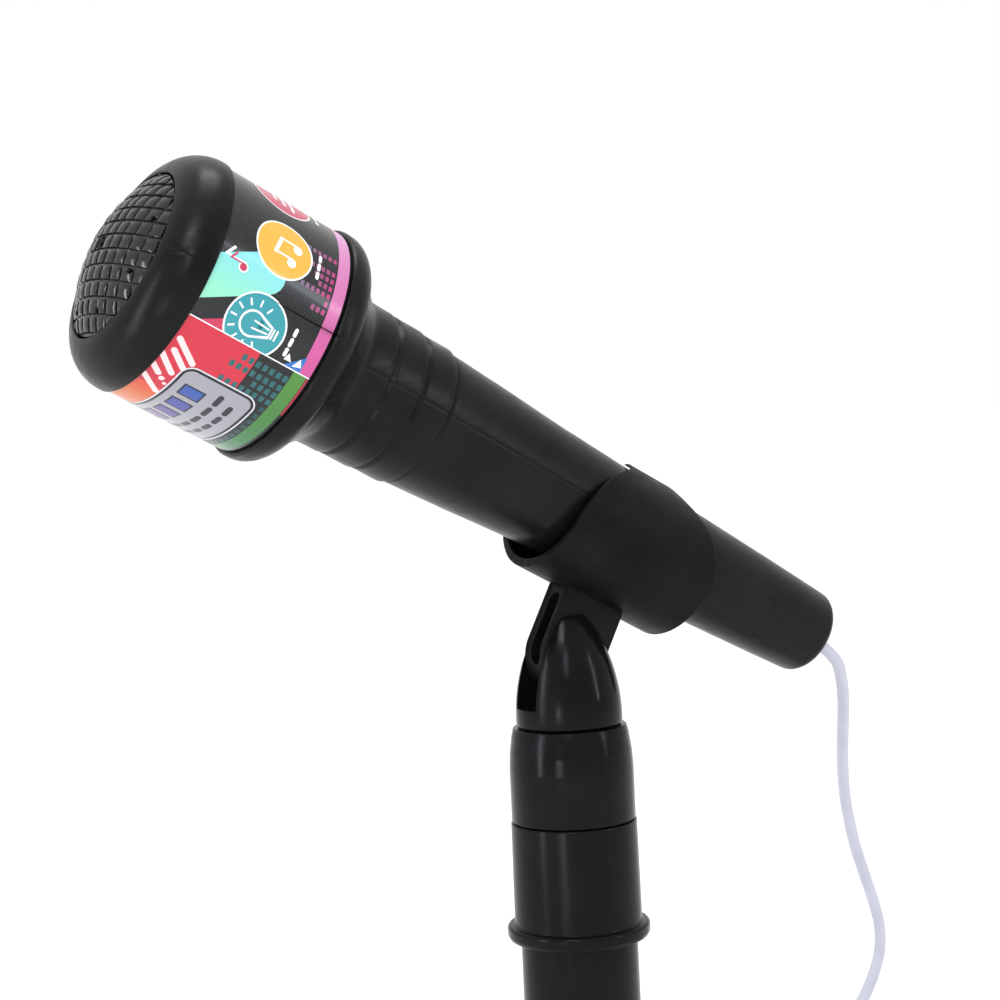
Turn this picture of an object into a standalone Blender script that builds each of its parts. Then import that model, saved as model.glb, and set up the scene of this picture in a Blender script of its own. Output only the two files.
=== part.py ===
"""Toy microphone held in a tilting clip on the top of its stand.

Metres, +Z up.  The origin is the middle of the stand tube's open lower end.
The microphone's head points to -X and its cord leaves the tail towards +X.
"""
import math

import bmesh
import bpy
from mathutils import Matrix, Vector

MM = 0.001
OBJECT = "toy_microphone"
ROUND = 40                       # facets round the large turned pieces

# ---------------------------------------------------------------- clearances
GAP = 0.3 * MM                   # air between neighbouring pieces
SLIDE_GAP = 0.35 * MM            # clip wings to the handle
WALL = 2.0 * MM                  # moulded shell wall

# ---------------------------------------------------------------- stand
TUBE_RADIUS = 14.0 * MM
TUBE_BORE = 12.4 * MM
TUBE_SHOWN = 59.6 * MM           # from the tube's end up to the lower collar
TUBE_SOCKET = 15.0 * MM          # tube length inside the lower collar
COLLAR_LOW_LENGTH = 28.0 * MM
COLLAR_LOW_WALL = 1.0 * MM       # beside the tube, at the top of the socket
COLLAR_LOW_FLARE = 0.25 * MM     # draft, so the foot is a little wider
FLANGE_HEIGHT = 3.4 * MM
FLANGE_REACH = 1.8 * MM
COLLAR_UP_LENGTH = 22.4 * MM
COLLAR_UP_RADIUS = 14.85 * MM
COLLAR_UP_SHOULDER = 1.3 * MM    # how much narrower the collar's top edge is
COLLAR_PLATE = 8.0 * MM          # thick top that the fork's stem turns in
SPIGOT_LENGTH = 7.0 * MM
SPIGOT_WALL = 1.9 * MM

# ---------------------------------------------------------------- fork
FORK_RADIUS = 12.7 * MM
FORK_HEIGHT = 26.2 * MM
FORK_STRAIGHT = 2.0 * MM
FORK_NOSE_RADIUS = 41.3 * MM     # radius of the bullet-shaped flanks
SLOT_FLOOR = 4.6 * MM            # solid base under the slot
STEM_RADIUS = 7.0 * MM
PIVOT_HEIGHT = 16.8 * MM         # pivot above the fork's base
PIN_RADIUS = 1.9 * MM
PIN_HEAD_RADIUS = 3.2 * MM
EAR_SEAT = 3.1 * MM              # from the slot to the seat under the pin's head

# ---------------------------------------------------------------- clip
MIC_PITCH = 28.65                # degrees, head up
AXIS_ABOVE_PIVOT = 33.0 * MM     # microphone axis to the pivot
CLIP_AHEAD = 18.05 * MM          # pivot's foot on the axis, behind the stand's line
TONGUE_THICK = 7.4 * MM
TONGUE_LENGTH = 17.5 * MM        # front to back
POCKET_WIDTH = 3.8 * MM
POCKET_DEPTH = 4.6 * MM
CLIP_HALF_LENGTH = 20.8 * MM
SADDLE_BEHIND = 0.5 * MM         # saddle's middle behind the tongue's
CLIP_RADIUS = 17.0 * MM
CLIP_DROP = 2.2 * MM             # outer circle's centre below the microphone axis
CLIP_BORE = 15.65 * MM
CLIP_BORE_DROP = 1.45 * MM
CLIP_SLIT = 3.6 * MM             # half the opening between the wing tips

# ---------------------------------------------------------------- microphone
# Stations along the axis count from the stand's line, negative towards the head.
FRONT_LIP = -121.0 * MM
RING_REAR = -111.1 * MM
LABEL_FRONT = -110.9 * MM
LABEL_REAR = -81.5 * MM
FLANGE_FRONT = -80.8 * MM
NECK = -68.0 * MM
TAIL = 84.0 * MM
END_WALL = 2.5 * MM
END_ROUND = 2.6 * MM
LABEL_RADIUS = 26.8 * MM         # over the label
LABEL_THICK = 0.3 * MM
LABEL_BED = 0.15 * MM            # adhesive layer under the label
RING_RADIUS = 27.35 * MM
RING_ROUND = 9.5 * MM
BUMPER_RADIUS = 27.7 * MM
BUMPER_ROUND = 5.0 * MM
MOUTH_RADIUS = 19.6 * MM
HEAD_BORE = 24.2 * MM
HANDLE_FRONT_RADIUS = 17.45 * MM
GROOVES = (-60.3 * MM, -52.0 * MM, -43.75 * MM)
GROOVE_WIDTH = 1.6 * MM
GROOVE_DEPTH = 0.9 * MM
BAND_RADII = (17.45 * MM, 17.3 * MM, 17.0 * MM)
GRIP_TOP_RADIUS = 16.4 * MM      # just behind the last groove
GRIP_MID = -9.6 * MM
GRIP_MID_RADIUS = 14.6 * MM
GRIP_LOW = 59.5 * MM
GRIP_LOW_RADIUS = 11.85 * MM
TAIL_RADIUS = 10.85 * MM

GRILLE_RADIUS = 19.2 * MM
GRILLE_APEX = -126.2 * MM
GRILLE_SPHERE = 36.0 * MM
GRILLE_WALL = 1.6 * MM
GRILLE_SEAT = -117.2 * MM        # shoulder that keeps the grille in
GRILLE_FLANGE = 2.1 * MM
GRILLE_LIP = 2.4 * MM            # how far the grille's flange stands out
RIB_THICK = 1.7 * MM             # rib behind the grille's flange
RIB_REACH = 1.6 * MM
GRILLE_HOLE = 1.2 * MM           # in the middle
PIN_HOLE = 0.6 * MM
PIN_HOLES = 8
PIN_HOLE_OUT = 15.6 * MM         # pin holes from the axis

CAPSULE_RADIUS = 12.5 * MM
CAPSULE_FRONT = -113.2 * MM
CAPSULE_LENGTH = 9.0 * MM
BOOT_WALL = 2.0 * MM
BRACKET_THICK = 2.0 * MM
LEAD_RADIUS = 0.6 * MM

SCREW_RADIUS = 1.0 * MM
SCREW_HEAD = 2.3 * MM
POST_RADIUS = 3.6 * MM
HANDLE_SCREWS = (-33.0 * MM, 58.0 * MM)
HEAD_SCREW_AT = -92.0 * MM
HEAD_SCREW_OUT = 14.0 * MM       # to each side of the axis
SCREW_BITE = 5.5 * MM            # thread past the parting plane
CLAMP_AT = 72.0 * MM
CLAMP_SPREAD = 4.7 * MM
CLAMP_POST = 1.9 * MM
CORD_BEGINS = 68.0 * MM          # end of the cord's jacket, inside the handle

# ---------------------------------------------------------------- cord
CORD_RADIUS = 1.6 * MM
COIL_CENTRE = (78.0 * MM, 0.0)
COIL_MID = 17.5 * MM             # radius at the middle of the turns
COIL_TURNS_ACROSS = 3
COIL_TURNS_HIGH = 3
GROMMET_WALL = 1.9 * MM
TIE_THICK = 0.8 * MM
TIE_WIDTH = 6.0 * MM
PLUG_GRIP_RADIUS = 4.0 * MM
JACK_RADIUS = 1.75 * MM

# Worked out from the sizes above
COLLAR_LOW_TOP = TUBE_SHOWN + COLLAR_LOW_LENGTH
COLLAR_UP_BASE = COLLAR_LOW_TOP + GAP
COLLAR_UP_TOP = COLLAR_UP_BASE + COLLAR_UP_LENGTH
FORK_BASE = COLLAR_UP_TOP + GAP
PIVOT_Z = FORK_BASE + PIVOT_HEIGHT
TUBE_LENGTH = TUBE_SHOWN + TUBE_SOCKET - GAP
SOCKET_RADIUS = TUBE_RADIUS + GAP
COLLAR_LOW_RADIUS = SOCKET_RADIUS + COLLAR_LOW_WALL - COLLAR_LOW_FLARE
SPIGOT_RADIUS = TUBE_BORE - GAP / 2
SWIVEL_WASHER_RADIUS = SPIGOT_RADIUS - SPIGOT_WALL - 2.5 * GAP
SLOT_WIDTH = TONGUE_THICK + 2 * 0.4 * MM
TONGUE_EYE = TONGUE_LENGTH / 2
BAND_RADIUS = LABEL_RADIUS - LABEL_THICK - LABEL_BED
CORD_HOLE = CORD_RADIUS + GROMMET_WALL

# ---------------------------------------------------------------- materials
BLACK_SATIN = ("black_satin", (0.018, 0.018, 0.020), 0.42, 0.0)
BLACK_GLOSS = ("black_gloss", (0.012, 0.012, 0.013), 0.22, 0.0)
BLACK_RUBBERY = ("black_rubbery", (0.022, 0.022, 0.024), 0.60, 0.0)
STEEL = ("steel", (0.62, 0.62, 0.64), 0.30, 1.0)
PRINT_BLUE = ("print_blue", (0.10, 0.55, 0.66), 0.30, 0.0)
PRINT_RED = ("print_red", (0.72, 0.10, 0.16), 0.30, 0.0)
FOAM = ("foam", (0.05, 0.05, 0.05), 0.95, 0.0)
RUBBER = ("rubber", (0.03, 0.03, 0.03), 0.80, 0.0)
CREAM = ("cream_plastic", (0.70, 0.68, 0.62), 0.50, 0.0)
CORD_WHITE = ("cord_white", (0.86, 0.86, 0.88), 0.45, 0.0)
LEAD_RED = ("lead_red", (0.60, 0.03, 0.03), 0.50, 0.0)
LEAD_BLACK = ("lead_black", (0.02, 0.02, 0.02), 0.50, 0.0)
NICKEL = ("nickel", (0.70, 0.68, 0.63), 0.22, 1.0)


# ================================================================ helpers
def clear_scene():
    for obj in list(bpy.data.objects):
        bpy.data.objects.remove(obj, do_unlink=True)


def collection(name):
    coll = bpy.data.collections.new(name)
    bpy.context.scene.collection.children.link(coll)
    return coll


def material(spec):
    name, color, roughness, metallic = spec
    mat = bpy.data.materials.get(name)
    if mat is None:
        mat = bpy.data.materials.new(name)
        mat.use_nodes = True
        shader = mat.node_tree.nodes["Principled BSDF"]
        shader.inputs["Base Color"].default_value = (*color, 1.0)
        shader.inputs["Roughness"].default_value = roughness
        shader.inputs["Metallic"].default_value = metallic
    return mat


def place(obj, coll, parent=None, at=(0, 0, 0), turn=(0, 0, 0)):
    coll.objects.link(obj)
    obj.parent = parent
    obj.location = at
    obj.rotation_euler = turn
    return obj


def finish(obj, spec):
    """Give a visible piece its material and smooth its round faces."""
    obj.data.materials.append(material(spec))
    if obj.type == "MESH":
        obj.data.shade_smooth()
        obj.data.set_sharp_from_angle(angle=math.radians(35))
    return obj


def as_cutter(obj):
    obj.hide_render = True
    obj.display_type = "WIRE"
    return obj


def empty(name, parent=None, at=(0, 0, 0), turn=(0, 0, 0)):
    return place(bpy.data.objects.new(name, None), parts, parent, at, turn)


def turned(name, profile, steps=ROUND, closed=True):
    """Piece turned about Z.  The profile is (radius, height), outer side from
    top to bottom; an open profile starts and ends on the axis."""
    mesh = bpy.data.meshes.new(name)
    bm = bmesh.new()
    verts = [bm.verts.new((r, 0, z)) for r, z in profile]
    for a, b in zip(verts, verts[1:]):
        bm.edges.new((a, b))
    if closed:
        bm.edges.new((verts[-1], verts[0]))
    bm.to_mesh(mesh)
    bm.free()
    obj = bpy.data.objects.new(name, mesh)
    screw = obj.modifiers.new("turn", "SCREW")
    screw.axis = "Z"
    screw.angle = 2 * math.pi
    screw.steps = steps
    screw.render_steps = steps
    screw.use_merge_vertices = True
    screw.merge_threshold = 0.00001
    screw.use_smooth_shade = True
    return obj


def rod(name, radius, low, high, steps=24):
    """Plain round bar about Z between two heights."""
    return tube_or_rod(name, radius, 0.0, low, high, steps)


def stepped(name, small, large, low, step, high, steps=20):
    """Round cutter for a hole with a counterbore above the step."""
    profile = [(0, high), (large, high), (large, step), (small, step), (small, low), (0, low)]
    return turned(name, profile, steps, closed=False)


def tube_or_rod(name, radius, bore, low, high, steps=24):
    if bore:
        profile = [(radius, high), (radius, low), (bore, low), (bore, high)]
        return turned(name, profile, steps)
    profile = [(0, high), (radius, high), (radius, low), (0, low)]
    return turned(name, profile, steps, closed=False)


def block(name, size, centre=(0, 0, 0)):
    mesh = bpy.data.meshes.new(name)
    bm = bmesh.new()
    bmesh.ops.create_cube(bm, size=1.0)
    bmesh.ops.scale(bm, vec=Vector(size), verts=bm.verts)
    bmesh.ops.translate(bm, vec=Vector(centre), verts=bm.verts)
    bm.to_mesh(mesh)
    bm.free()
    return bpy.data.objects.new(name, mesh)


def outline(name, points, thickness):
    """Flat XY outline, made solid to both sides of its plane, as a mesh."""
    curve = bpy.data.curves.new(name, "CURVE")
    curve.dimensions = "2D"
    curve.fill_mode = "BOTH"
    curve.extrude = thickness / 2
    spline = curve.splines.new("POLY")
    spline.points.add(len(points) - 1)
    for point, (x, y) in zip(spline.points, points):
        point.co = (x, y, 0, 1)
    spline.use_cyclic_u = True
    return curve_to_mesh(name, curve)


def curve_to_mesh(name, curve):
    source = bpy.data.objects.new(name + "_curve", curve)
    bpy.context.scene.collection.objects.link(source)
    depsgraph = bpy.context.evaluated_depsgraph_get()
    mesh = bpy.data.meshes.new_from_object(source.evaluated_get(depsgraph))
    bm = bmesh.new()
    bm.from_mesh(mesh)
    bmesh.ops.remove_doubles(bm, verts=bm.verts, dist=0.000001)
    bmesh.ops.recalc_face_normals(bm, faces=bm.faces)
    bm.to_mesh(mesh)
    bm.free()
    obj = bpy.data.objects.new(name, mesh)
    obj.matrix_world = source.matrix_world.copy()
    bpy.data.objects.remove(source, do_unlink=True)
    return obj


def boolean(obj, other, operation):
    mod = obj.modifiers.new(operation.lower(), "BOOLEAN")
    mod.object = other
    mod.operation = operation
    mod.solver = "EXACT"
    return obj


def cut(obj, other):
    return boolean(obj, other, "DIFFERENCE")


def join(obj, other):
    return boolean(obj, other, "UNION")


def keep(obj, other):
    return boolean(obj, other, "INTERSECT")


def tool(obj, parent=None, at=(0, 0, 0), turn=(0, 0, 0)):
    """Put a cutting or joining shape in its own collection."""
    return place(as_cutter(obj), cutters, parent, at, turn)


def arc(centre, radius, start, end, count):
    """Points on an arc, angles in degrees from the first axis."""
    points = []
    for i in range(count + 1):
        angle = math.radians(start + (end - start) * i / count)
        points.append((centre[0] + radius * math.cos(angle), centre[1] + radius * math.sin(angle)))
    return points


def smooth_route(points, step):
    """Points about one step apart on a Catmull-Rom curve through the route."""
    route = [Vector(p) for p in points]
    ends = [route[0] * 2 - route[1]] + route + [route[-1] * 2 - route[-2]]
    result = [route[0]]
    for a, b, c, d in zip(ends, ends[1:], ends[2:], ends[3:]):
        count = max(1, round((c - b).length / step))
        for i in range(1, count + 1):
            t = i / count
            result.append(0.5 * ((2 * b) + (c - a) * t + (2 * a - 5 * b + 4 * c - d) * t * t
                                 + (3 * b - a - 3 * c + d) * t ** 3))
    return result


def wire(name, points, radius, spec, parent=None, sides=2):
    curve = bpy.data.curves.new(name, "CURVE")
    curve.dimensions = "3D"
    curve.bevel_depth = radius
    curve.bevel_resolution = sides
    curve.use_fill_caps = True
    spline = curve.splines.new("POLY")
    spline.points.add(len(points) - 1)
    for point, co in zip(spline.points, points):
        point.co = (*co, 1)
    obj = bpy.data.objects.new(name, curve)
    curve.materials.append(material(spec))
    return place(obj, parts, parent)


# Turned pieces of the microphone stand on their tail: +Z of the piece becomes
# the direction of the head, and +X of the piece becomes up.
ALONG_MIC = (0, math.radians(-90), 0)
ALONG_Y = (math.radians(-90), 0, 0)
OFF_SEAM = (0, 0, math.radians(3.75))   # keeps a hole's corners off its post's facets


def mic_profile(points):
    """Turn (station, radius) pairs into a profile for turned()."""
    return [(radius, -station) for station, radius in points]


# ================================================================ stand
def make_stand():
    tube = tube_or_rod("stand_tube", TUBE_RADIUS, TUBE_BORE, 0, TUBE_LENGTH, ROUND)
    finish(place(tube, parts), BLACK_GLOSS)

    flange_radius = SOCKET_RADIUS + COLLAR_LOW_WALL + FLANGE_REACH
    rim = FLANGE_HEIGHT / 2
    foot = TUBE_SHOWN
    outer = [(COLLAR_LOW_RADIUS - 0.3 * MM, COLLAR_LOW_TOP),
             (COLLAR_LOW_RADIUS, COLLAR_LOW_TOP - 0.4 * MM),
             (COLLAR_LOW_RADIUS + COLLAR_LOW_FLARE, foot + FLANGE_HEIGHT + 0.6 * MM)]
    rim_arc = arc((flange_radius - rim, foot + rim), rim, 90, -90, 5)
    inner = [(SOCKET_RADIUS, foot), (SOCKET_RADIUS, foot + TUBE_SOCKET),
             (TUBE_BORE + GAP / 2, foot + TUBE_SOCKET), (TUBE_BORE + GAP / 2, COLLAR_LOW_TOP)]
    lower = turned("collar_lower", outer + rim_arc + inner)
    finish(place(lower, parts), BLACK_GLOSS)

    top, base = COLLAR_UP_TOP, COLLAR_UP_BASE
    bore = STEM_RADIUS + GAP
    outer = [(COLLAR_UP_RADIUS - COLLAR_UP_SHOULDER, top),
             (COLLAR_UP_RADIUS - 0.8 * MM, top - 2.0 * MM),
             (COLLAR_UP_RADIUS - 0.25 * MM, top - 6.0 * MM),
             (COLLAR_UP_RADIUS, top - 10.0 * MM),
             (COLLAR_UP_RADIUS, base)]
    spigot = SPIGOT_RADIUS - GAP / 2
    inside = spigot - SPIGOT_WALL
    inner = [(spigot, base), (spigot, base - SPIGOT_LENGTH), (inside, base - SPIGOT_LENGTH),
             (inside, top - COLLAR_PLATE), (bore, top - COLLAR_PLATE), (bore, top)]
    finish(place(turned("collar_upper", outer + inner), parts), BLACK_GLOSS)


def make_fork():
    swivel = empty("swivel_axis", at=(0, 0, FORK_BASE))
    rise = FORK_HEIGHT - FORK_STRAIGHT
    flank = []
    for i in range(7):
        h = rise * (6 - i) / 6
        drop = FORK_NOSE_RADIUS - math.sqrt(FORK_NOSE_RADIUS ** 2 - h ** 2)
        flank.append((FORK_RADIUS - drop, FORK_STRAIGHT + h))
    stem_end = -(COLLAR_PLATE + GAP + 0.5 * MM)
    profile = [(0, FORK_HEIGHT), (flank[0][0] - 0.4 * MM, FORK_HEIGHT)] + flank + [
        (FORK_RADIUS, 0), (STEM_RADIUS, 0), (STEM_RADIUS, stem_end), (0, stem_end)]
    fork = turned("fork", profile, closed=False)
    place(fork, parts, swivel)

    slot_height = FORK_HEIGHT
    slot = block("fork_slot", (3 * FORK_RADIUS, SLOT_WIDTH, slot_height),
                 (0, 0, SLOT_FLOOR + slot_height / 2))
    cut(fork, tool(slot, swivel))
    hole = PIN_RADIUS + GAP
    near_end = -(SLOT_WIDTH / 2 + 3.6 * MM)
    seat = SLOT_WIDTH / 2 + EAR_SEAT
    pin_way = stepped("fork_pin_way", hole, PIN_HEAD_RADIUS + GAP, near_end, seat, 2 * FORK_RADIUS)
    cut(fork, tool(pin_way, swivel, (0, 0, PIVOT_HEIGHT), ALONG_Y))
    pilot = rod("fork_stem_pilot", hole, 2 * stem_end, stem_end + 7.5 * MM, 20)
    cut(fork, tool(pilot, swivel, (0, 0, 0), OFF_SEAM))
    finish(fork, BLACK_GLOSS)

    washer_top = stem_end - GAP
    washer = tube_or_rod("swivel_washer", SWIVEL_WASHER_RADIUS, hole, washer_top - 1.2 * MM, washer_top)
    finish(place(washer, parts, swivel), STEEL)
    head_top = washer_top - 1.2 * MM - GAP
    profile = [(0, stem_end + 6.6 * MM), (PIN_RADIUS, stem_end + 6.6 * MM), (PIN_RADIUS, head_top),
               (4.0 * MM, head_top), (4.0 * MM, head_top - 1.4 * MM),
               (3.0 * MM, head_top - 2.4 * MM), (0, head_top - 2.4 * MM)]
    screw = turned("swivel_screw", profile, 24, closed=False)
    cross = cross_recess("swivel_screw_cross", 4.4 * MM, 1.0 * MM)
    cut(screw, tool(cross, swivel, (0, 0, head_top - 2.4 * MM)))
    finish(place(screw, parts, swivel), STEEL)

    far_seat = seat + GAP
    pin_tip = near_end + 0.5 * MM
    washer = tube_or_rod("tilt_washer", PIN_HEAD_RADIUS, hole, far_seat, far_seat + 0.6 * MM)
    finish(place(washer, parts, swivel, (0, 0, PIVOT_HEIGHT), ALONG_Y), STEEL)
    head = far_seat + 0.6 * MM + GAP
    profile = [(0, head + 1.7 * MM), (PIN_HEAD_RADIUS - 0.9 * MM, head + 1.7 * MM),
               (PIN_HEAD_RADIUS - 0.1 * MM, head + 0.8 * MM), (PIN_HEAD_RADIUS - 0.1 * MM, head),
               (PIN_RADIUS, head), (PIN_RADIUS, pin_tip), (0, pin_tip)]
    screw = turned("tilt_screw", profile, 24, closed=False)
    place(screw, parts, swivel, (0, 0, PIVOT_HEIGHT), ALONG_Y)
    cross = cross_recess("tilt_screw_cross", 3.6 * MM, 0.8 * MM)
    cut(screw, tool(cross, swivel, (0, head + 1.7 * MM, PIVOT_HEIGHT), ALONG_Y))
    finish(screw, STEEL)


def cross_recess(name, length, width):
    """Upright cross-shaped key, wide enough to cut a screw's drive."""
    half, arm = length / 2, width / 2
    corner = [(half, -arm), (half, arm), (arm, arm)]
    points = []
    for quarter in range(4):
        turn = Matrix.Rotation(math.radians(90 * quarter), 2)
        points += [tuple(turn @ Vector(p)) for p in corner]
    return outline(name, points, 1.8 * MM)


# ================================================================ clip
def make_clip(tilt):
    half = CLIP_HALF_LENGTH
    foot = -AXIS_ABOVE_PIVOT
    body = rod("clip", CLIP_RADIUS, -half, half, ROUND)
    place(body, parts, tilt, (SADDLE_BEHIND, 0, AXIS_ABOVE_PIVOT - CLIP_DROP), ALONG_MIC)

    tongue_points = [(TONGUE_EYE, -CLIP_BORE - 0.6 * MM - CLIP_BORE_DROP)]
    tongue_points += arc((0, foot), TONGUE_EYE, 0, -180, 14)
    tongue_points += [(-TONGUE_EYE, -CLIP_BORE - 0.6 * MM - CLIP_BORE_DROP)]
    tongue = outline("clip_tongue", tongue_points, TONGUE_THICK)
    join(body, tool(tongue, tilt, (0, 0, AXIS_ABOVE_PIVOT), (math.radians(90), 0, 0)))

    bore = rod("clip_bore", CLIP_BORE, -2 * half, 2 * half, ROUND)
    cut(body, tool(bore, tilt, (SADDLE_BEHIND, 0, AXIS_ABOVE_PIVOT - CLIP_BORE_DROP), ALONG_MIC))
    slit = block("clip_slit", (4 * half, 2 * CLIP_SLIT, CLIP_RADIUS), (0, 0, CLIP_RADIUS / 2))
    cut(body, tool(slit, tilt, (0, 0, AXIS_ABOVE_PIVOT)))

    # Side view of the wings: straight below, rounded above, with a blunt tip.
    low = -2 * AXIS_ABOVE_PIVOT
    shoulder = -7.5 * MM
    side = [(half, low), (half, shoulder)]
    side += arc((0, shoulder), half, 0, 62, 10)[1:]
    side += [(7.4 * MM, 12.6 * MM), (5.6 * MM, 15.6 * MM)]
    side += [(-x, z) for x, z in reversed(side)]
    wings = outline("clip_side", side, 4 * CLIP_RADIUS)
    keep(body, tool(wings, tilt, (SADDLE_BEHIND, 0, AXIS_ABOVE_PIVOT), (math.radians(90), 0, 0)))

    pocket_low = foot - TONGUE_EYE + 3.2 * MM
    pocket_high = -CLIP_RADIUS - CLIP_DROP - 1.6 * MM
    radius = POCKET_WIDTH / 2
    shape = arc((0, pocket_high - radius), radius, 0, 180, 8)
    shape += arc((0, pocket_low + radius), radius, 180, 360, 8)
    pocket = outline("tongue_pocket", shape, 2 * POCKET_DEPTH)
    place_turn = (math.radians(90), 0, math.radians(90))
    cut(body, tool(pocket, tilt, (-TONGUE_EYE, 0, AXIS_ABOVE_PIVOT), place_turn))
    hole = rod("tongue_hole", PIN_RADIUS + GAP, -TONGUE_THICK, TONGUE_THICK, 20)
    cut(body, tool(hole, tilt, (0, 0, 0), ALONG_Y))
    finish(body, BLACK_RUBBERY)


# ================================================================ microphone
def shell_outline():
    """Outer side of both half shells as (station, radius), head to tail."""
    ring_centre = (RING_REAR - 0.5 * MM, RING_RADIUS - RING_ROUND)
    first = math.degrees(math.acos(-(ring_centre[0] - FRONT_LIP) / RING_ROUND))
    points = [(FRONT_LIP + 0.3 * MM, MOUTH_RADIUS)]
    points += arc(ring_centre, RING_ROUND, first - 4, 90, 6)
    points += [(RING_REAR - 0.3 * MM, RING_RADIUS), (RING_REAR, RING_RADIUS - 0.3 * MM),
               (RING_REAR, BAND_RADIUS), (FLANGE_FRONT, BAND_RADIUS),
               (FLANGE_FRONT, BUMPER_RADIUS - 0.4 * MM), (FLANGE_FRONT + 0.5 * MM, BUMPER_RADIUS)]
    bumper_centre = (FLANGE_FRONT + 1.8 * MM, BUMPER_RADIUS - BUMPER_ROUND)
    points += arc(bumper_centre, BUMPER_ROUND, 90, 8, 6)
    points += [(NECK, HANDLE_FRONT_RADIUS + 0.25 * MM), (NECK + 1.0 * MM, HANDLE_FRONT_RADIUS)]
    after = BAND_RADII[1:] + (GRIP_TOP_RADIUS,)
    for station, before, behind in zip(GROOVES, BAND_RADII, after):
        half = GROOVE_WIDTH / 2
        points += [(station - half, before), (station - 0.2 * half, before - GROOVE_DEPTH),
                   (station + 0.3 * half, before - GROOVE_DEPTH), (station + half, behind)]
    points += [(GRIP_MID, GRIP_MID_RADIUS), (GRIP_LOW, GRIP_LOW_RADIUS)]
    end_centre = (TAIL - END_ROUND, TAIL_RADIUS - END_ROUND)
    points += arc(end_centre, END_ROUND, 90, 0, 3)
    return points


def inner_wall():
    """Inner wall from the tail's end wall to the rib behind the grille."""
    neck_bore = HANDLE_FRONT_RADIUS - WALL - 0.2 * MM
    return [(TAIL - END_WALL, TAIL_RADIUS - WALL - 0.3 * MM),
            (GRIP_LOW, GRIP_LOW_RADIUS - WALL), (GRIP_MID, GRIP_MID_RADIUS - WALL),
            (GROOVES[0], neck_bore - GROOVE_DEPTH / 2), (NECK - 1.2 * MM, neck_bore),
            (NECK - 6.2 * MM, HEAD_BORE - 3.0 * MM), (NECK - 10.0 * MM, HEAD_BORE),
            (GRILLE_SEAT + GRILLE_FLANGE + RIB_THICK, HEAD_BORE)]


def shell_inside():
    """Inner side of both half shells, tail to head."""
    seat_rear = GRILLE_SEAT + GRILLE_FLANGE
    rib = MOUTH_RADIUS - RIB_REACH
    groove = GRILLE_RADIUS + GRILLE_LIP + GAP
    return [(TAIL, CORD_HOLE), (TAIL - END_WALL, CORD_HOLE)] + inner_wall() + [
        (seat_rear + RIB_THICK, rib), (seat_rear, rib), (seat_rear, groove),
        (GRILLE_SEAT, groove), (GRILLE_SEAT, MOUTH_RADIUS)]


def inner_radius(station):
    """Shell's inner radius at a station, between the grille seat and the tail."""
    wall = inner_wall()
    for (rear, rear_radius), (front, front_radius) in zip(wall, wall[1:]):
        if front <= station <= rear:
            return front_radius + (rear_radius - front_radius) * (station - front) / (rear - front)
    return HEAD_BORE


def wall_depth(station, offset=0.0):
    """Inner wall's distance from the parting plane, at a station and a side offset."""
    return math.sqrt(inner_radius(station) ** 2 - offset ** 2)


def mould_core():
    """Solid that reaches half way into the shell wall; posts are trimmed to it."""
    wall = [(station, radius + WALL / 2) for station, radius in inner_wall()]
    profile = mic_profile(wall)
    profile = [(0, profile[-1][1])] + profile[::-1] + [(0, profile[0][1])]
    return turned("mould_core", profile, closed=False)


def screw_places():
    places = [(station, 0.0) for station in HANDLE_SCREWS]
    places += [(HEAD_SCREW_AT, side * HEAD_SCREW_OUT) for side in (1, -1)]
    return places


def make_shells(mic):
    profile = mic_profile(shell_outline() + shell_inside())
    reach = 2 * BUMPER_RADIUS
    for name, side in (("upper_shell", 1), ("lower_shell", -1)):
        shell = turned(name, profile)
        place(shell, parts, mic, (0, 0, 0), ALONG_MIC)
        half = block(name + "_half", (0.4, 2 * reach, reach), (0, 0, side * (reach / 2 + GAP / 2)))
        keep(shell, tool(half, mic))
        posts = [(station, y, POST_RADIUS, side * GAP / 2) for station, y in screw_places()]
        if side < 0:
            posts += [(CLAMP_AT, y, CLAMP_POST, clamp_height()) for y in clamp_sides()]
        for index, (station, y, radius, face) in enumerate(posts):
            low, high = sorted((face, side * HEAD_BORE * 1.2))
            post = rod(f"{name}_post_{index + 1}", radius, low, high, 16)
            tool(post, mic, (station, y, 0))
            keep(post, trimmer)
            join(shell, post)
        if side > 0:
            cut_screw_holes(shell, mic)
        else:
            cut_pilots(shell, mic)
        finish(shell, BLACK_SATIN)


def cut_pilots(shell, mic):
    for index, (x, y) in enumerate(screw_places()):
        pilot = rod(f"pilot_{index + 1}", SCREW_RADIUS + GAP, -(SCREW_BITE + MM), MM, 12)
        cut(shell, tool(pilot, mic, (x, y, 0), OFF_SEAM))
    for index, y in enumerate(clamp_sides()):
        pilot = rod(f"clamp_pilot_{index + 1}", SCREW_RADIUS + GAP, -4.0 * MM, 3 * clamp_height(), 12)
        cut(shell, tool(pilot, mic, (CLAMP_AT, y, 0), OFF_SEAM))


def head_seat(station, offset):
    """Height of the seat that a shell screw's head pulls on."""
    return wall_depth(station, offset) - 3.0 * MM


def cut_screw_holes(shell, mic):
    for index, (x, y) in enumerate(screw_places()):
        way = stepped(f"screw_way_{index + 1}", SCREW_RADIUS + GAP, SCREW_HEAD + GAP, -MM,
                      head_seat(x, y), 2 * BUMPER_RADIUS, 16)
        cut(shell, tool(way, mic, (x, y, 0), OFF_SEAM))


def clamp_height():
    """Top of the posts that carry the cord clamp, over the parting plane."""
    return CORD_RADIUS + GAP


def clamp_sides():
    return (-CLAMP_SPREAD, CLAMP_SPREAD)


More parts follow.
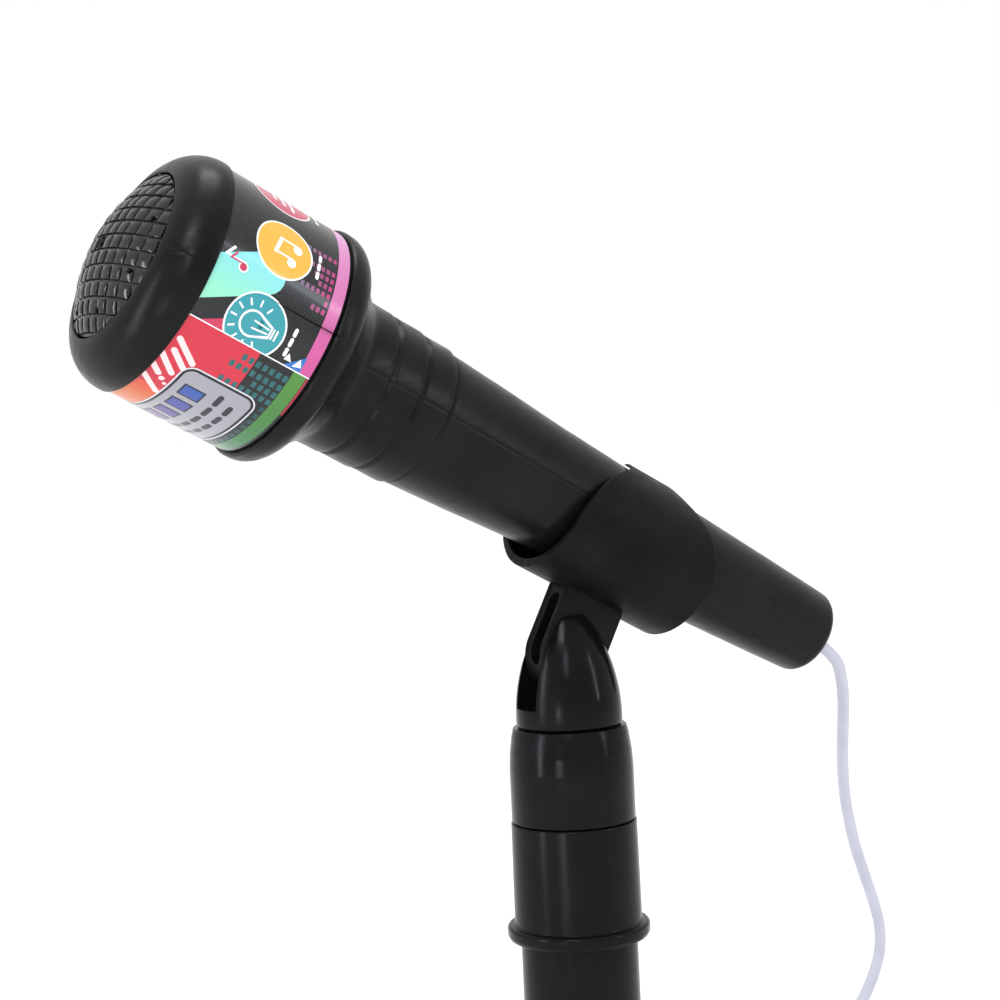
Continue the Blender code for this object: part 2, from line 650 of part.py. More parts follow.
def make_screws(mic):
    for index, (x, y) in enumerate(screw_places()):
        seat = head_seat(x, y) + GAP
        top = seat + 1.7 * MM
        profile = [(0, top), (1.2 * MM, top), (SCREW_HEAD - 0.2 * MM, seat + MM), (SCREW_HEAD, seat),
                   (SCREW_RADIUS, seat), (SCREW_RADIUS, 0.6 * MM - SCREW_BITE), (0, -SCREW_BITE)]
        screw = turned(f"shell_screw_{index + 1}", profile, 16, closed=False)
        place(screw, parts, mic, (x, y, 0))
        key = cross_recess(f"shell_screw_{index + 1}_cross", 2.2 * MM, 0.5 * MM)
        cut(screw, tool(key, mic, (x, y, top)))
        finish(screw, STEEL)


def make_labels(mic):
    """Two stickers round the head; angles count from the top to the viewer's side (-Y)."""
    step = 7.5
    for name, start, end, spec in (("function_label", -105.0, 112.5, PRINT_BLUE),
                                   ("title_label", 114.0, 249.0, PRINT_RED)):
        count = round((end - start) / step)
        bed = LABEL_RADIUS - LABEL_THICK
        mesh = bpy.data.meshes.new(name)
        bm = bmesh.new()
        first = bm.verts.new((bed, 0, -LABEL_FRONT))
        last = bm.verts.new((bed, 0, -LABEL_REAR))
        bm.edges.new((first, last))
        bm.to_mesh(mesh)
        bm.free()
        label = bpy.data.objects.new(name, mesh)
        sweep = label.modifiers.new("turn", "SCREW")
        sweep.axis = "Z"
        sweep.angle = math.radians(end - start)
        sweep.steps = count
        sweep.render_steps = count
        sweep.merge_threshold = 0.00001
        skin = label.modifiers.new("thickness", "SOLIDIFY")
        skin.thickness = LABEL_THICK
        skin.offset = 1.0
        skin.use_even_offset = True
        # +X of the piece is up, and a positive turn about its +Z goes to +Y.
        holder = empty(name + "_axis", mic, (0, 0, 0), ALONG_MIC)
        place(label, parts, holder, (0, 0, 0), (0, 0, math.radians(-end)))
        finish(label, spec)


def make_grille(mic):
    sphere = GRILLE_SPHERE
    centre = GRILLE_APEX + sphere
    edge = math.degrees(math.asin((GRILLE_RADIUS - 0.5 * MM) / sphere))
    dome = [(0, -GRILLE_APEX)]
    for i in range(1, 6):
        angle = math.radians(edge * i / 5)
        dome.append((sphere * math.sin(angle), -(centre - sphere * math.cos(angle))))
    seat_front = GRILLE_SEAT + GAP
    seat_rear = seat_front + GRILLE_FLANGE - 2 * GAP
    rim = [(GRILLE_RADIUS, dome[-1][1] - 0.6 * MM), (GRILLE_RADIUS, -seat_front),
           (GRILLE_RADIUS + GRILLE_LIP, -seat_front), (GRILLE_RADIUS + GRILLE_LIP, -seat_rear),
           (GRILLE_RADIUS - GRILLE_WALL, -seat_rear)]
    inner = []
    small = sphere - GRILLE_WALL
    inner_edge = math.degrees(math.asin((GRILLE_RADIUS - GRILLE_WALL) / small))
    for i in range(4, 0, -1):
        angle = math.radians(inner_edge * i / 4)
        inner.append((small * math.sin(angle), -(centre - small * math.cos(angle))))
    inner.append((0, -(centre - small)))
    grille = turned("grille", dome + rim + inner, 32, closed=False)
    place(grille, parts, mic, (0, 0, 0), ALONG_MIC)
    middle = rod("grille_hole_middle", GRILLE_HOLE, -GRILLE_SEAT, 2 * -GRILLE_APEX, 12)
    cut(grille, tool(middle, mic, (0, 0, 0), ALONG_MIC))
    for index in range(PIN_HOLES):
        angle = 2 * math.pi * (index + 0.5) / PIN_HOLES
        at = (0, PIN_HOLE_OUT * math.sin(angle), PIN_HOLE_OUT * math.cos(angle))
        hole = rod(f"grille_hole_{index + 1}", PIN_HOLE, -GRILLE_SEAT, 2 * -GRILLE_APEX, 8)
        cut(grille, tool(hole, mic, at, ALONG_MIC))
    finish(grille, BLACK_GLOSS)

    foam_front = centre - math.sqrt(small ** 2 - (GRILLE_RADIUS - GRILLE_WALL - GAP) ** 2) + GAP
    foam = rod("grille_foam", GRILLE_RADIUS - GRILLE_WALL - GAP, -seat_rear, -foam_front, 32)
    finish(place(foam, parts, mic, (0, 0, 0), ALONG_MIC), FOAM)


def make_inside(mic):
    front, rear = CAPSULE_FRONT, CAPSULE_FRONT + CAPSULE_LENGTH
    r = CAPSULE_RADIUS
    profile = mic_profile([(front - 1.0 * MM, 0), (front - 1.0 * MM, 0.55 * r), (front, 0.62 * r),
                           (front, r), (rear, r), (rear, 0.5 * r), (rear + 1.2 * MM, 0.45 * r),
                           (rear + 1.2 * MM, 0)])
    capsule = turned("capsule", profile, 32, closed=False)
    finish(place(capsule, parts, mic, (0, 0, 0), ALONG_MIC), STEEL)

    boot_in = r + GAP
    boot_out = boot_in + BOOT_WALL
    boot = tube_or_rod("capsule_boot", boot_out, boot_in, -rear, -(front + 0.4 * MM), 32)
    finish(place(boot, parts, mic, (0, 0, 0), ALONG_MIC), RUBBER)

    cup_in = boot_out + GAP
    plate = rear + 1.8 * MM
    profile = mic_profile([(front + 0.6 * MM, cup_in), (front + 0.6 * MM, cup_in + 1.5 * MM),
                           (plate, cup_in + 1.5 * MM), (plate, HEAD_BORE - GAP),
                           (plate + BRACKET_THICK, HEAD_BORE - GAP),
                           (plate + BRACKET_THICK, 7.0 * MM), (plate, 7.0 * MM), (plate, cup_in)])
    bracket = turned("capsule_bracket", profile, 32)
    place(bracket, parts, mic, (0, 0, 0), ALONG_MIC)
    finish(bracket, CREAM)

    start = rear + 1.2 * MM + GAP
    stop = CORD_BEGINS - GAP
    for name, side, spec in (("lead_red", 1, LEAD_RED), ("lead_black", -1, LEAD_BLACK)):
        route = [(start, side * 2.4 * MM, 0), (start + 8 * MM, side * 3.0 * MM, 0),
                 (HANDLE_SCREWS[0] - 20 * MM, side * 5.6 * MM, 0),
                 (HANDLE_SCREWS[0], side * 6.2 * MM, 0), (0, side * 5.6 * MM, 0),
                 (HANDLE_SCREWS[1] - 10 * MM, side * 5.6 * MM, 0),
                 (HANDLE_SCREWS[1], side * 5.4 * MM, 0),
                 (HANDLE_SCREWS[1] + 7 * MM, side * 3.2 * MM, 0), (stop, side * 0.95 * MM, 0)]
        wire(name, smooth_route(route, 6 * MM), LEAD_RADIUS, spec, mic, 1)

    bar_low = clamp_height() + GAP
    bar = block("cord_clamp", (6.0 * MM, 2 * (CLAMP_SPREAD + CLAMP_POST), 2.0 * MM),
                (CLAMP_AT, 0, bar_low + 1.0 * MM))
    place(bar, parts, mic)
    for index, y in enumerate(clamp_sides()):
        hole = rod(f"clamp_hole_{index + 1}", SCREW_RADIUS + GAP, 0, 10 * MM, 12)
        cut(bar, tool(hole, mic, (CLAMP_AT, y, 0)))
        seat = bar_low + 2.0 * MM + GAP
        profile = [(0, seat + 1.1 * MM), (SCREW_HEAD - 0.9 * MM, seat + 1.1 * MM),
                   (SCREW_HEAD - 0.4 * MM, seat), (SCREW_RADIUS, seat),
                   (SCREW_RADIUS, -3.4 * MM), (0, -3.6 * MM)]
        screw = turned(f"clamp_screw_{index + 1}", profile, 16, closed=False)
        finish(place(screw, parts, mic, (CLAMP_AT, y, 0)), STEEL)
    finish(bar, CREAM)

    hole = CORD_HOLE
    profile = mic_profile([(TAIL - END_WALL - 2.2 * MM, CORD_RADIUS + GAP),
                           (TAIL - END_WALL - 2.2 * MM, hole + 1.4 * MM),
                           (TAIL - END_WALL - GAP, hole + 1.4 * MM),
                           (TAIL - END_WALL - GAP, hole - GAP), (TAIL - 0.3 * MM, hole - GAP),
                           (TAIL, hole - 0.7 * MM), (TAIL, CORD_RADIUS + GAP)])
    grommet = turned("cord_grommet", profile, 24)
    finish(place(grommet, parts, mic, (0, 0, 0), ALONG_MIC), RUBBER)


# ================================================================ cord
def on_axis(station):
    """World place of a point on the microphone's axis."""
    pitch = math.radians(MIC_PITCH)
    along = Vector((math.cos(pitch), 0, -math.sin(pitch)))
    up = Vector((math.sin(pitch), 0, math.cos(pitch)))
    return Vector((0, 0, PIVOT_Z)) + up * AXIS_ABOVE_PIVOT + along * (station - CLIP_AHEAD)


# Hand-chosen route of the cord below the tail, world millimetres.
CORD_ROUTE = (
    (83.6, 1.0, 117.0), (87.6, 3.4, 111.2), (90.6, 6.4, 105.0), (93.0, 9.6, 98.6),
    (95.0, 12.6, 91.6), (97.0, 15.2, 84.4), (99.0, 17.2, 77.0), (101.2, 18.4, 69.4),
    (103.8, 19.2, 61.4), (107.2, 19.8, 53.0), (110.4, 20.2, 44.8), (112.4, 20.5, 37.4),
    (112.0, 20.7, 30.0), (108.6, 20.8, 22.6), (103.4, 20.9, 15.6), (99.8, 20.9, 12.0),
    (95.6, 20.8, 9.9), (90.7, 20.7, 9.1),
)
PLUG_LEAD_ROUTE = ((65.3, 20.7, 5.9), (59.0, 20.7, 5.2), (53.0, 20.7, 4.4), (48.0, 20.7, 4.2))


def make_cord(mic):
    start = [tuple(on_axis(CORD_BEGINS)), tuple(on_axis(TAIL - 8 * MM)),
             tuple(on_axis(TAIL))]
    route = start + [tuple(v * MM for v in p) for p in CORD_ROUTE]
    wire("cord", smooth_route(route, 2.5 * 2 * CORD_RADIUS), CORD_RADIUS, CORD_WHITE)

    diameter = 2 * CORD_RADIUS
    across = COIL_TURNS_ACROSS * diameter / 2
    low = TIE_THICK + GAP
    high = low + COIL_TURNS_HIGH * diameter
    profile = [(COIL_MID + across, high - MM), (COIL_MID + across, low + MM),
               (COIL_MID + across - MM, low), (COIL_MID - across + MM, low),
               (COIL_MID - across, low + MM), (COIL_MID - across, high - MM),
               (COIL_MID - across + MM, high), (COIL_MID + across - MM, high)]
    coil = turned("cord_coil", profile, 32)
    finish(place(coil, parts, None, (*COIL_CENTRE, 0)), CORD_WHITE)

    tie_height = high + GAP + TIE_THICK
    inner = COIL_MID - across
    bulge = inner - math.sqrt(inner ** 2 - (TIE_WIDTH / 2) ** 2)
    inside = (2 * TIE_WIDTH, 2 * (across + GAP + bulge), high - low + 2 * GAP)
    outside = (TIE_WIDTH, inside[1] + 2 * TIE_THICK, inside[2] + 2 * TIE_THICK)
    place_at = (COIL_CENTRE[0], COIL_CENTRE[1] - COIL_MID, tie_height / 2)
    tie = block("cord_tie", outside)
    place(tie, parts, None, place_at)
    cut(tie, tool(block("tie_opening", inside), None, place_at))
    finish(tie, RUBBER)

    lead = [tuple(v * MM for v in p) for p in PLUG_LEAD_ROUTE]
    wire("cord_end", smooth_route(lead, 2 * diameter), CORD_RADIUS, CORD_WHITE)
    make_plug(lead[-1])


def make_plug(cord_end):
    """Jack plug lying on its side, pointing to -X."""
    holder = empty("plug_axis", None, (cord_end[0] - GAP, cord_end[1], cord_end[2]), ALONG_MIC)
    grip = PLUG_GRIP_RADIUS
    relief, body = 9 * MM, 19 * MM
    stages = [(0, relief + body), (grip - 0.5 * MM, relief + body), (grip, relief + body - 0.6 * MM),
              (grip, relief + 3 * MM), (grip - 0.9 * MM, relief), (CORD_RADIUS + 0.8 * MM, 0), (0, 0)]
    finish(place(turned("plug_grip", stages, 24, closed=False), parts, holder), CORD_WHITE)
    base = relief + body + GAP
    collar = [(0, base + 11.0 * MM), (JACK_RADIUS, base + 11.0 * MM), (JACK_RADIUS, base + 1.2 * MM),
              (JACK_RADIUS + 0.9 * MM, base + 1.2 * MM), (JACK_RADIUS + 0.9 * MM, base), (0, base)]
    finish(place(turned("plug_sleeve", collar, 24, closed=False), parts, holder), NICKEL)
    ring = base + 11.0 * MM + GAP
    band = rod("plug_insulator", JACK_RADIUS, ring, ring + 0.7 * MM, 24)
    finish(place(band, parts, holder), LEAD_BLACK)
    tip = ring + 0.7 * MM + GAP
    nose = [(0, tip + 2.9 * MM), (0.7 * MM, tip + 2.7 * MM), (JACK_RADIUS, tip + 1.6 * MM),
            (1.2 * MM, tip + 0.7 * MM), (JACK_RADIUS - 0.1 * MM, tip), (0, tip)]
    finish(place(turned("plug_tip", nose, 24, closed=False), parts, holder), NICKEL)


clear_scene()
parts = collection(OBJECT)
cutters = collection("cutters")
make_stand()
make_fork()
tilt_axis = empty("tilt_axis", at=(0, 0, PIVOT_Z), turn=(0, math.radians(MIC_PITCH), 0))
make_clip(tilt_axis)
mic_axis = empty("mic_axis", tilt_axis, (-CLIP_AHEAD, 0, AXIS_ABOVE_PIVOT))
trimmer = tool(mould_core(), mic_axis, (0, 0, 0), ALONG_MIC)
make_shells(mic_axis)
make_screws(mic_axis)
make_labels(mic_axis)
make_grille(mic_axis)
make_inside(mic_axis)
make_cord(mic_axis)
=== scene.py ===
"""Looks of the toy microphone in the tilting clip on the top of its stand.

Pieces are drawn in millimetres, about their own axis, and set into the part's frame at the end.
On the microphone, X is up, Y is towards the near side and Z runs along the axis to the tail.
"""
import math
import random

import bmesh
import bpy
from mathutils import Matrix, Vector


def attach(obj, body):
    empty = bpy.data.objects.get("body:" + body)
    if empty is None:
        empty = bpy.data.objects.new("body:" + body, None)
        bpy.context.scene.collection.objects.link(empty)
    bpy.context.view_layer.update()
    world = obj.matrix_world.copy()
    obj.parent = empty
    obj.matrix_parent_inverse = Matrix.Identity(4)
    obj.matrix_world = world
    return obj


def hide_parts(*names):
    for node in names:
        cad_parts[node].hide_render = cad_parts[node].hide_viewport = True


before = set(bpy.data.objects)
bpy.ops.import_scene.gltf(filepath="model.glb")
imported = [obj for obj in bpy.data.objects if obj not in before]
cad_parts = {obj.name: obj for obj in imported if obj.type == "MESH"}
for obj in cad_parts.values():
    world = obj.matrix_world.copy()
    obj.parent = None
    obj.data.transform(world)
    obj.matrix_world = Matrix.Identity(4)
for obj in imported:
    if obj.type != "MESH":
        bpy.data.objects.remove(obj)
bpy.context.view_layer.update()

MM = 0.001
PITCH = math.radians(28.65)                 # microphone, head up
CROSSING = Vector((0, 0, 165))              # where its axis meets the stand's line, in mm
PIVOT = (-33.0, 18.05)                      # tilt pin below the axis, and along it
UP = Vector((math.sin(PITCH), 0, math.cos(PITCH)))
NEAR = Vector((0, -1, 0))
ALONG = Vector((math.cos(PITCH), 0, -math.sin(PITCH)))


def axes(x, y, z, origin):
    """Place for a piece drawn in mm, from its own three directions and origin."""
    turn = Matrix((x, y, z)).transposed().to_4x4()
    return Matrix.Scale(MM, 4) @ Matrix.Translation(origin) @ turn


MICROPHONE = axes(UP, NEAR, ALONG, CROSSING)
STAND = Matrix.Scale(MM, 4)


# ================================================================ camera
def make_camera():
    azimuth, elevation, roll = (math.radians(v) for v in (-31.46, 3.02, -2.78))
    back = Vector((math.sin(azimuth) * math.cos(elevation),
                   -math.cos(azimuth) * math.cos(elevation), math.sin(elevation)))
    level = Vector((math.cos(azimuth), math.sin(azimuth), 0))
    upright = back.cross(level)
    right = math.cos(roll) * level + math.sin(roll) * upright
    up = math.cos(roll) * upright - math.sin(roll) * level
    data = bpy.data.cameras.new("camera")
    data.lens = 75.6
    data.sensor_width = 36
    data.clip_start = 0.01
    camera = bpy.data.objects.new("camera", data)
    turn = Matrix((right, up, back)).transposed().to_4x4()
    from_crossing = Vector((-271.55, -417.07, 25.98))
    eye = (CROSSING + from_crossing) * MM
    camera.matrix_world = Matrix.Translation(eye) @ turn
    bpy.context.scene.collection.objects.link(camera)
    bpy.context.scene.camera = camera


make_camera()


# ================================================================ finishes
class Socket:
    """An output of a node that is used in plain arithmetic."""

    def __init__(self, finish, out):
        self.finish, self.out = finish, out

    def sum(self, operation, first, second):
        return self.finish.node("Math", {"operation": operation}, {0: first, 1: second})

    def __add__(self, other):
        return self.sum("ADD", self, other)

    def __radd__(self, other):
        return self.sum("ADD", other, self)

    def __mul__(self, other):
        return self.sum("MULTIPLY", self, other)

    def __rmul__(self, other):
        return self.sum("MULTIPLY", other, self)


class Finish:
    """A material with its nodes.  Keywords set the shader's own constant sockets."""

    def __init__(self, name, **constants):
        self.material = bpy.data.materials.new(name)
        self.material.use_nodes = True
        self.tree = self.material.node_tree
        self.shader = self.tree.nodes["Principled BSDF"]
        for key, value in constants.items():
            socket = key.replace("_", " ").title().replace("Ior", "IOR")
            self.shader.inputs[socket].default_value = value
        self.where = self.node("TexCoord", output="Object")

    def node(self, kind, settings=None, sockets=None, output=0):
        node = self.tree.nodes.new("ShaderNode" + kind)
        for key, value in (settings or {}).items():
            setattr(node, key, value)
        for key, value in (sockets or {}).items():
            self.feed(node.inputs[key], value)
        return Socket(self, node.outputs[output])

    def feed(self, socket, value):
        if isinstance(value, Socket):
            self.tree.links.new(value.out, socket)
        else:
            socket.default_value = value

    def surface(self, **links):
        for socket, value in links.items():
            self.feed(self.shader.inputs[socket.replace("_", " ").title()], value)
        return self

    def noise(self, scale, detail=3.0, stretch=(1, 1, 1), turn=(0, 0, 0)):
        where = self.node("Mapping", sockets={
            "Vector": self.where, "Rotation": turn, "Scale": stretch})
        return self.node("TexNoise", sockets={"Vector": where, "Scale": scale, "Detail": detail})

    def between(self, value, low, high, start=0.0, end=1.0):
        return self.node("MapRange", {"clamp": True}, {
            "Value": value, "From Min": low, "From Max": high, "To Min": start, "To Max": end})

    def blend(self, factor, dark, light):
        return self.node("Mix", {"data_type": "RGBA"}, {0: factor, 6: dark, 7: light}, 2)

    def bump(self, height, strength, distance=0.0002):
        return self.node("Bump", sockets={
            "Height": height, "Strength": strength, "Distance": distance})


def rgb(red, green, blue):
    """Linear colour from display values, 0 to 1."""
    linear = [v / 12.92 if v <= 0.04045 else ((v + 0.055) / 1.055) ** 2.4
              for v in (red, green, blue)]
    return (*linear, 1.0)


ALONG_MICROPHONE = (0, -PITCH, 0)           # turns the texture so that its X runs along the axis


def moulded(name, dark, light, rough, grain, streak, dust, specular, turn=(0, 0, 0)):
    """Black moulded plastic: cloudy sheen, flow marks, fine grain, hair scratches, dust."""
    finish = Finish(name, specular_ior_level=specular)
    cloud = finish.noise(70, 4)
    flow = finish.noise(1, 3, streak, turn)
    fine = finish.noise(2600, 2)
    hair = finish.between(finish.noise(1, 2, (40, 1400, 900), (0.3, 0.5, 0.8)), 0.66, 0.72)
    speck = finish.between(finish.noise(2300, 1), 0.745, 0.80) * dust
    worn = finish.between(cloud, 0.35, 0.7)
    color = finish.blend(worn, rgb(*dark), rgb(*light))
    color = finish.blend(speck, color, rgb(0.62, 0.62, 0.63))
    low, high = rough
    sheen = finish.between(flow * 0.6 + cloud * 0.4, 0.35, 0.65, low, high)
    height = cloud * 0.5 + flow * 0.35 + fine * grain
    return finish.surface(base_color=color, roughness=sheen + hair * 0.12 + speck * 0.3,
                          normal=finish.bump(height, 0.16))


def printed_film(name):
    """Glossy printed sticker: the artwork's colours with a faint print screen under the lacquer."""
    finish = Finish(name, specular_ior_level=0.25, coat_weight=0.22, coat_roughness=0.08)
    art = finish.node("Attribute", {"attribute_name": "print"}, output="Color")
    screen = finish.between(finish.noise(3200, 1), 0.3, 0.7, 0.0, 0.08)
    color = finish.blend(screen, art, rgb(0.5, 0.5, 0.52))
    ripple = finish.noise(90, 3)
    return finish.surface(base_color=color, roughness=finish.between(ripple, 0.3, 0.7, 0.2, 0.34),
                          normal=finish.bump(ripple, 0.12))


def metal(name, color, dull, rough, streak):
    finish = Finish(name, metallic=1.0)
    stain = finish.between(finish.noise(260, 4), 0.4, 0.7)
    brushed = finish.noise(1, 2, streak)
    return finish.surface(base_color=finish.blend(stain, rgb(*color), rgb(*dull)),
                          roughness=finish.between(brushed, 0.3, 0.7, *rough),
                          normal=finish.bump(brushed, 0.1, 0.00005))


def vinyl(name, dark, light, rough, softness=0.0):
    finish = Finish(name, specular_ior_level=0.45, subsurface_weight=softness,
                    subsurface_scale=0.002)
    mottle = finish.between(finish.noise(140, 4), 0.35, 0.7)
    fine = finish.noise(2200, 2)
    return finish.surface(base_color=finish.blend(mottle, rgb(*dark), rgb(*light)),
                          roughness=finish.between(mottle, 0, 1, *rough),
                          normal=finish.bump(fine, 0.15, 0.00005))


def open_foam(name):
    finish = Finish(name, specular_ior_level=0.2)
    cells = finish.node("TexVoronoi", sockets={"Vector": finish.where, "Scale": 1500.0})
    pore_and_painted_shade = finish.between(cells, 0.0, 0.55)
    # pore centres are painted darker than the cell walls: painted shade in the hollows; the same
    # mask sinks the pores in the bump and sets the roughness
    color = finish.blend(pore_and_painted_shade, rgb(0.08, 0.08, 0.08), rgb(0.24, 0.24, 0.25))
    return finish.surface(base_color=color, roughness=finish.between(pore_and_painted_shade, 0, 1, 0.98, 0.85),
                          normal=finish.bump(pore_and_painted_shade, 0.8, 0.0003))


BODY = moulded("body_black", (0.045, 0.045, 0.05), (0.075, 0.075, 0.08), (0.24, 0.38), 0.18,
               (60, 500, 500), dust=0.08, specular=0.12, turn=ALONG_MICROPHONE)
GRILLE = moulded("grille_black", (0.04, 0.04, 0.045), (0.07, 0.07, 0.075), (0.12, 0.24), 0.1,
                 (300, 300, 300), dust=0.12, specular=0.5)
RUBBERY = moulded("clip_black", (0.05, 0.05, 0.053), (0.085, 0.085, 0.088), (0.36, 0.52), 0.5,
                  (90, 350, 350), dust=0.12, specular=0.06, turn=ALONG_MICROPHONE)
GLOSSY = moulded("stand_black", (0.035, 0.038, 0.045), (0.06, 0.065, 0.075), (0.12, 0.26), 0.06,
                 (700, 700, 22), dust=0.06, specular=0.09)
SLOTS = {
    "mic_body": BODY, "grille_plastic": GRILLE, "clip_plastic": RUBBERY, "stand_plastic": GLOSSY,
    "label_function": printed_film("function_print"), "label_title": printed_film("title_print"),
    "foam": open_foam("foam_black"),
    "soft_rubber": vinyl("rubber_black", (0.10, 0.10, 0.10), (0.17, 0.17, 0.17), (0.55, 0.75)),
    "inner_plastic": vinyl("inner_cream", (0.80, 0.78, 0.72), (0.88, 0.86, 0.80), (0.40, 0.55),
                           softness=0.1),
    "steel": metal("zinc_plate", (0.78, 0.79, 0.81), (0.62, 0.63, 0.66), (0.22, 0.40),
                   (900, 900, 60)),
    "plug_metal": metal("nickel_plate", (0.86, 0.84, 0.80), (0.74, 0.71, 0.66), (0.10, 0.22),
                        (80, 900, 900)),
    "cord_jacket": vinyl("cord_white", (0.70, 0.70, 0.75), (0.73, 0.73, 0.78), (0.34, 0.44)),
    "lead_red": vinyl("lead_red", (0.62, 0.10, 0.10), (0.78, 0.16, 0.14), (0.35, 0.5)),
    "lead_black": vinyl("lead_black", (0.10, 0.10, 0.10), (0.15, 0.15, 0.15), (0.35, 0.5)),
}
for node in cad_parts.values():
    for held in node.material_slots:
        held.material = SLOTS[held.material.name].material


# ================================================================ shaping
CREASE = 32                                 # degrees from which an edge is left crisp


def arc(centre, radius, start, stop, steps=12):
    """Points on a circle, angles in degrees from the first direction to the second."""
    turns = (math.radians(start + (stop - start) * k / steps) for k in range(steps + 1))
    return [(centre[0] + radius * math.cos(w), centre[1] + radius * math.sin(w)) for w in turns]


def rounded(corners, steps=5):
    """Closed outline through (x, y, fillet radius) corners."""
    points = []
    for i, (x, y, fillet) in enumerate(corners):
        here = Vector((x, y))
        if not fillet:
            points.append((x, y))
            continue
        before = (Vector(corners[i - 1][:2]) - here).normalized()
        after = (Vector(corners[(i + 1) % len(corners)][:2]) - here).normalized()
        half = before.angle(after) / 2
        centre = here + (before + after).normalized() * (fillet / math.sin(half))
        reach = fillet / math.tan(half)
        first, last = (here + side * reach - centre for side in (before, after))
        start = math.degrees(math.atan2(first.y, first.x))
        swing = (math.degrees(math.atan2(last.y, last.x)) - start + 180) % 360 - 180
        points += arc(centre, fillet, start, start + swing, steps)
    return points


def stitch(bm, rings, round_steps):
    """Faces between neighbouring rings of vertices.  A pole is a ring of one repeated vertex."""
    for low, high in rings:
        for k in range(round_steps):
            j = (k + 1) % len(low)
            corners = list(dict.fromkeys((low[k], low[j], high[j], high[k])))
            if len(corners) > 2:
                bm.faces.new(corners)


def turned(profile, steps=96, closed=True):
    """Body turned about Z from (radius, height) points."""
    bm = bmesh.new()
    rings = []
    for radius, height in profile:
        if radius < 1e-6:
            rings.append([bm.verts.new((0, 0, height))] * steps)
            continue
        turns = (2 * math.pi * k / steps for k in range(steps))
        rings.append([bm.verts.new((radius * math.cos(w), radius * math.sin(w), height))
                      for w in turns])
    pairs = list(zip(rings, rings[1:])) + ([(rings[-1], rings[0])] if closed else [])
    stitch(bm, pairs, steps)
    return bm


def part_turned(profile, sweep):
    """Closed profile carried round only part of a turn, through (degrees, ease) stops,
    where ease draws the outer skin in.  Profile points are (radius, height, on the outside)."""
    bm = bmesh.new()
    rings = []
    for degrees, ease in sweep:
        w = math.radians(degrees)
        ring = [(r - ease * skin, t) for r, t, skin in profile]
        rings.append([bm.verts.new((r * math.cos(w), r * math.sin(w), t)) for r, t in ring])
    stitch(bm, zip(rings, rings[1:]), len(profile))
    bm.faces.new(rings[0])
    bm.faces.new(rings[-1])
    return bm


def slab(points, low, high):
    """Flat outline in XZ, carried along Y between two heights."""
    bm = bmesh.new()
    rings = [[bm.verts.new((x, y, z)) for x, z in points] for y in (low, high)]
    stitch(bm, [rings], len(points))
    for ring in rings:
        bm.faces.new(ring)
    return bm


def as_object(bm, name="work"):
    bmesh.ops.recalc_face_normals(bm, faces=bm.faces)
    mesh = bpy.data.meshes.new(name)
    bm.to_mesh(mesh)
    bm.free()
    obj = bpy.data.objects.new(name, mesh)
    bpy.context.scene.collection.objects.link(obj)
    return obj


def joined(bm, other):
    """The first body with the second's faces added to it."""
    spare = bpy.data.meshes.new("spare")
    other.to_mesh(spare)
    other.free()
    bm.from_mesh(spare)
    return bm


def combined(body, tool, operation="DIFFERENCE"):
    body, tool = as_object(body), as_object(tool)
    change = body.modifiers.new("change", "BOOLEAN")
    change.object, change.operation, change.solver = tool, operation, "EXACT"
    shaped = body.evaluated_get(bpy.context.evaluated_depsgraph_get())
    bm = bmesh.new()
    bm.from_mesh(shaped.data)
    for obj in (body, tool):
        bpy.data.objects.remove(obj, do_unlink=True)
    return bm


def eased(bm, width, angle):
    """Small rounding on every edge sharper than the angle."""
    bmesh.ops.remove_doubles(bm, verts=bm.verts, dist=0.004)
    bmesh.ops.dissolve_degenerate(bm, edges=bm.edges, dist=0.004)
    sharp = [e for e in bm.edges if len(e.link_faces) == 2
             and e.calc_face_angle(0) > math.radians(angle)]
    bmesh.ops.bevel(bm, geom=sharp, offset=width, segments=2, affect="EDGES",
                    profile=0.5, clamp_overlap=True)
    return bm


def piece(name, bm, place, body, slot, *nodes, crease=CREASE):
    bm.transform(place)
    obj = as_object(bm, name + "_shaped")
    obj.data.materials.append(SLOTS[slot].material)
    obj.data.shade_smooth()
    obj.data.set_sharp_from_angle(angle=math.radians(crease))
    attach(obj, body)
    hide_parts(*nodes)
    return obj


# ================================================================ cord
CORD_RADIUS = 1.6
TAIL = 84.0
CORD_START = 68.0                           # held by the clamp, inside the tail
COIL_MIDDLE = (78.0, 0.0)
TURN = 2 * CORD_RADIUS
MID = 17.5                                  # coil radius of the middle turns
OUT, INNER = MID + TURN, MID - TURN
TOP, HALFWAY, BOTTOM = 9.1, 5.9, 2.7        # heights of its three layers
CORD_FALL = (
    (83.6, 1.0, 117.0), (87.6, 3.4, 111.2), (90.6, 6.4, 105.0), (93.0, 9.6, 98.6),
    (95.0, 12.6, 91.6), (97.0, 15.2, 84.4), (99.0, 17.2, 77.0), (101.2, 18.4, 69.4),
    (103.8, 19.2, 61.4), (107.2, 19.8, 53.0), (110.4, 20.2, 44.8), (112.4, 20.5, 37.4),
    (112.0, 20.7, 30.0), (108.6, 20.8, 22.6), (103.4, 20.9, 15.6), (99.8, 20.9, 12.0),
    (95.6, 20.8, 9.9), (90.7, 20.7, 9.1),
)
PLUG_LEAD = ((65.3, 20.7, 5.9), (59.0, 20.7, 5.2), (53.0, 20.7, 4.4), (48.0, 20.7, 4.2))


def on_axis(station):
    return CROSSING + ALONG * station


